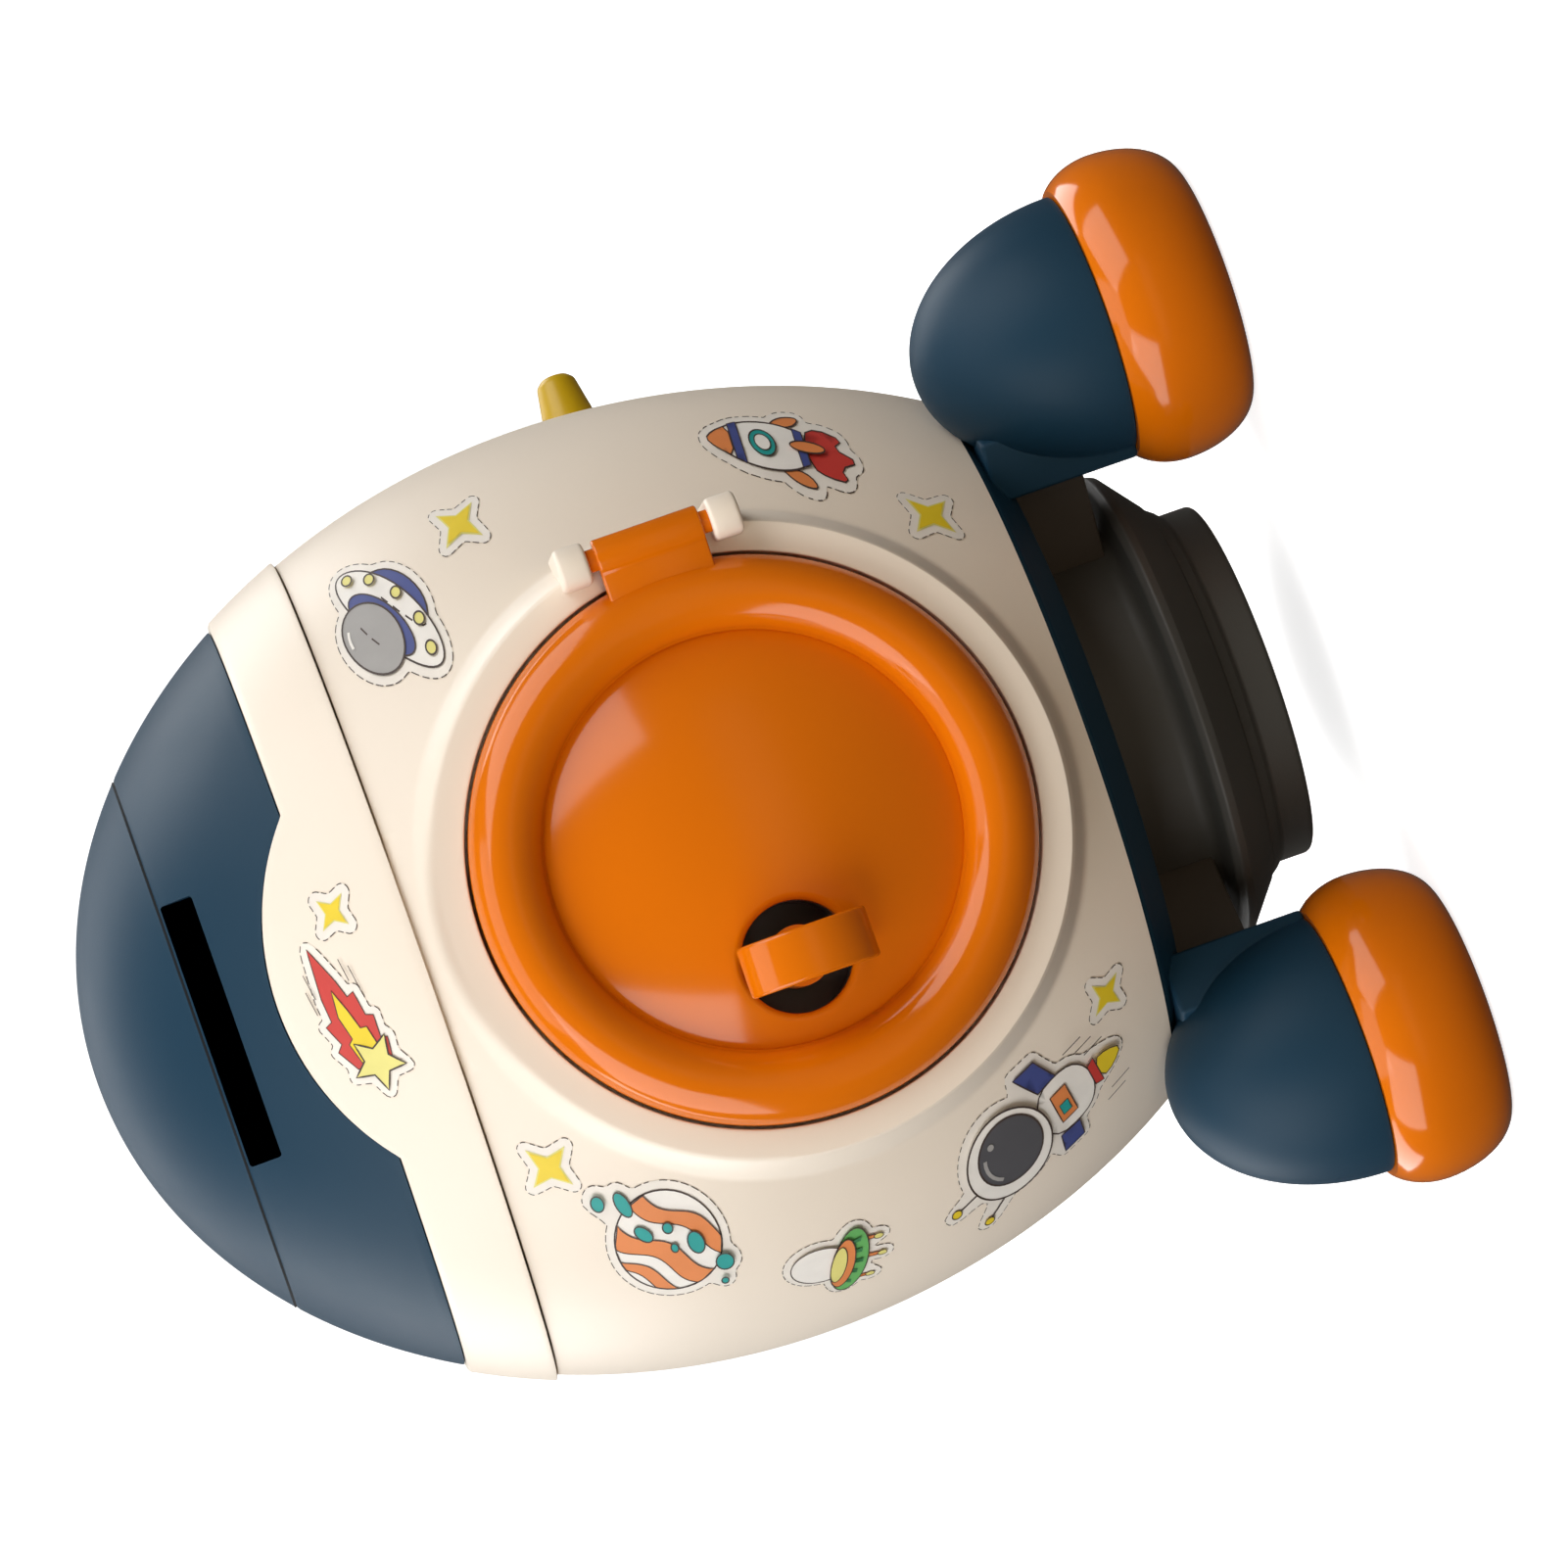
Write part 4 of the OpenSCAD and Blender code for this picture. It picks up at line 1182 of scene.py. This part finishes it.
def round_probe():
    """A plain space probe with a round window, two aerials and an engine flame."""
    art = Sticker("sticker_probe", -52.3, 72.2, 14, 1.35)
    for x, y in ((-3.4, 15.2), (-10.0, 11.6)):
        art.line([(x * 0.55 - 0.6, y - 5.6), (x, y)], 0.3)
        art.fill(oval(x, y, 0.85, n=16), "yellow", 0.2)
    art.fill(smooth([(-4.6, -2.5), (4.6, -2.5), (5.4, -9.5), (2.4, -12.4), (-2.4, -12.4), (-5.4, -9.5)]),
             "white")
    art.fill([(4.9, -4.0), (9.6, -1.6), (9.6, -5.6), (5.2, -7.6)], "blue", 0.22)
    art.fill([(-4.9, -4.0), (-8.6, -3.4), (-8.6, -7.2), (-5.2, -7.6)], "blue", 0.22)
    art.fill([(-2.8, -5.2), (2.8, -5.2), (2.8, -8.2), (-2.8, -8.2)], "orange", 0.2)
    art.fill([(-1.6, -5.9), (0.4, -5.9), (0.4, -7.5), (-1.6, -7.5)], "teal", 0.12)
    art.fill([(-1.9, -12.2), (1.9, -12.2), (2.5, -13.6), (-2.5, -13.6)], "red", 0.18)
    flame = [(-2.0, -13.6), (2.0, -13.6), (1.7, -16.0), (0.0, -18.2), (-1.7, -16.0)]
    art.fill(smooth(flame, 1), "yellow", 0.18)
    art.fill(oval(0.0, 4.0, 7.6, 7.4, n=48), "white", 0.3)
    art.fill(oval(0.7, 3.6, 5.7, 5.6, n=40), "slate", 0.3)
    art.line(arc(0.7, 3.6, 4.6, 4.5, range(66, 150, 12)), 0.6, "grey")
    art.fill(oval(4.0, 6.0, 0.55, n=14), "grey", 0.0)
    for x, y in ((4.4, -12.6), (6.0, -11.2), (7.4, -9.8), (-4.6, -13.8), (-6.0, -12.4)):
        art.line([(x, y), (x, y - 3.6)], 0.16)
    art.finish(1.3)


def domed_saucer():
    art = Sticker("sticker_blue_saucer", 45.0, 139.6, 31, 1.78)
    art.fill(smooth([(-6.6, -2.4), (6.6, -2.4), (4.4, -6.0), (0.0, -7.1), (-4.4, -6.0)]), "blue")
    art.fill(oval(0, -1.4, 9.7, 3.7, n=48), "white")
    art.fill(oval(0, 0.3, 5.9, 2.5, n=36), "blue", 0.22)
    art.fill(oval(0, 2.5, 5.1, 4.0, n=40), "grey", 0.26)
    art.line(arc(0, 2.5, 4.0, 3.2, range(30, 78, 12)), 0.4, "white")
    for x, y in ((-7.7, -1.6), (-4.6, -3.4), (0, -4.1), (4.6, -3.4), (7.7, -1.6)):
        art.fill(oval(x, y, 0.8, n=18), "lemon", 0.24)
    art.finish(1.2)


def little_rocket():
    art = Sticker("sticker_rocket", 53.0, 73.8, -12, 2.3)
    art.fill(smooth([(-2.3, -4.6), (2.3, -4.6), (3.4, -6.8), (2.2, -10.2), (0.8, -8.4), (-0.6, -11.6),
                     (-1.8, -8.6), (-3.4, -9.4), (-3.2, -6.6)], 1), "red", 0.2)
    for side in (-1, 1):
        fin = [(side * 2.6, 0.4), (side * 4.6, -1.8), (side * 4.9, -4.9), (side * 3.0, -3.6)]
        art.fill(smooth(fin), "orange", 0.2)
    hull = [(-2.2, -4.4), (2.2, -4.4), (3.3, -1.0), (3.3, 3.0), (2.2, 6.6), (0, 9.8), (-2.2, 6.6),
            (-3.3, 3.0), (-3.3, -1.0)]
    art.fill(smooth(hull), "white", 0.24)
    art.fill(smooth([(-2.3, 6.0), (2.3, 6.0), (1.2, 8.4), (0, 9.6), (-1.2, 8.4)], 1), "orange", 0.2)
    art.fill([(-2.9, 4.6), (2.9, 4.6), (2.45, 5.9), (-2.45, 5.9)], "blue", 0.16)
    art.fill([(-2.2, -4.4), (2.2, -4.4), (2.6, -3.2), (-2.6, -3.2)], "blue", 0.16)
    art.fill(oval(0, 1.6, 1.8, n=28), "teal", 0.2)
    art.fill(oval(0, 1.6, 1.1, n=22), "white", 0.16)
    art.fill(oval(0, -4.6, 0.75, 2.4, n=24), "orange", 0.2)
    art.finish(1.2)


comet()
banded_planet()
striped_saucer()
round_probe()
domed_saucer()
little_rocket()
sparkle("sticker_spark_collar", 9.7, 161.2, 2.8, 38, collar_proud)
sparkle("sticker_spark_upper", -30.9, 143.6, 4.1, 40)
sparkle("sticker_spark_lower", -38.2, 54.6, 3.3, 38)
sparkle("sticker_spark_side", 55.0, 123.4, 4.2, 40, wide=1.75)
sparkle("sticker_spark_base", 36.3, 55.6, 4.2, 40)


# ---------------- studio
def glow(name, grey, strength):
    """Matt white ground that also shines by itself."""
    mat = bpy.data.materials.new(name)
    mat.use_nodes = True
    shader = mat.node_tree.nodes["Principled BSDF"]
    shader.inputs["Base Color"].default_value = (grey, grey, grey, 1)
    shader.inputs["Roughness"].default_value = 1
    shader.inputs["Emission Color"].default_value = (1, 1, 1, 1)
    shader.inputs["Emission Strength"].default_value = strength
    return mat


ground_z = -0.2 * MM
floor_r, wall_r = 1.6, 3.0
floor_path = [(0, ground_z), (floor_r, ground_z)]
wall_path = fillet([(floor_r, ground_z), (wall_r, ground_z, 1.2), (wall_r, 4.6)], closed=False, steps=16)
for stage in (lathe("studio_floor", floor_path, glow("studio_white", 0.80, 0.78), 96, closed=False),
              lathe("studio_wall", wall_path, glow("wall_white", 0.0, 1.2), 96, closed=False)):
    stage.visible_diffuse = False
    stage.visible_glossy = False


def softbox(name, azimuth, elevation, distance, width, height, power, colour=(1, 1, 1)):
    """An area light aimed at the middle of the object."""
    light = bpy.data.lights.new(name, "AREA")
    light.shape = "RECTANGLE"
    light.size, light.size_y = width, height
    light.energy = power
    light.color = colour
    obj = link(name, light)
    a, e = math.radians(azimuth), math.radians(elevation)
    middle = Vector((0, 0, 0.10))
    obj.location = middle + distance * Vector((math.sin(a) * math.cos(e), -math.cos(a) * math.cos(e),
                                               math.sin(e)))
    obj.rotation_euler = (middle - obj.location).to_track_quat("-Z", "Y").to_euler()
    return obj


softbox("key_left", -57, 33, 1.2, 1.22, 0.92, 11.8)
softbox("key_right", 57, 33, 1.2, 1.22, 0.92, 10.0)
softbox("top", -8, 68, 1.3, 1.1, 0.9, 4.6)
softbox("side_left", -128, 30, 1.3, 0.7, 0.9, 7.6)
softbox("side_right", 128, 30, 1.3, 0.7, 0.9, 7.6)
softbox("rear", 180, 40, 1.5, 1.2, 0.7, 5)
low_fill = softbox("low_fill", 0, -8, 0.55, 0.7, 0.12, 0.8, (1.0, 0.80, 0.58))
low_fill.visible_camera = False
low_fill.visible_glossy = False

world = bpy.data.worlds.new("studio_world")
world.use_nodes = True
world.node_tree.nodes["Background"].inputs["Color"].default_value = (1, 0.93, 0.84, 1)
world.node_tree.nodes["Background"].inputs["Strength"].default_value = 0.075
bpy.context.scene.world = world
bpy.context.scene.view_settings.view_transform = "Standard"

# ---------------- camera
VIEW_AZIMUTH = math.radians(-1.9)
VIEW_ELEVATION = math.radians(4.87)
VIEW_DISTANCE = 1177 * MM
VIEW_ROLL = math.radians(-109.3)
aim_right, aim_z = 8.6 * MM, 86 * MM
camera_data = bpy.data.cameras.new("camera")
camera_data.lens = 170.2
camera_data.sensor_width = 36
camera = link("camera", camera_data)
aim = Vector((aim_right * math.cos(VIEW_AZIMUTH), aim_right * math.sin(VIEW_AZIMUTH), aim_z))
away = Vector((math.sin(VIEW_AZIMUTH) * math.cos(VIEW_ELEVATION),
               -math.cos(VIEW_AZIMUTH) * math.cos(VIEW_ELEVATION), math.sin(VIEW_ELEVATION)))
camera.location = aim + VIEW_DISTANCE * away
upright = away.to_track_quat("Z", "Y").to_matrix()
camera.rotation_euler = (upright @ Matrix.Rotation(VIEW_ROLL, 3, "Z")).to_euler()
bpy.context.scene.camera = camera
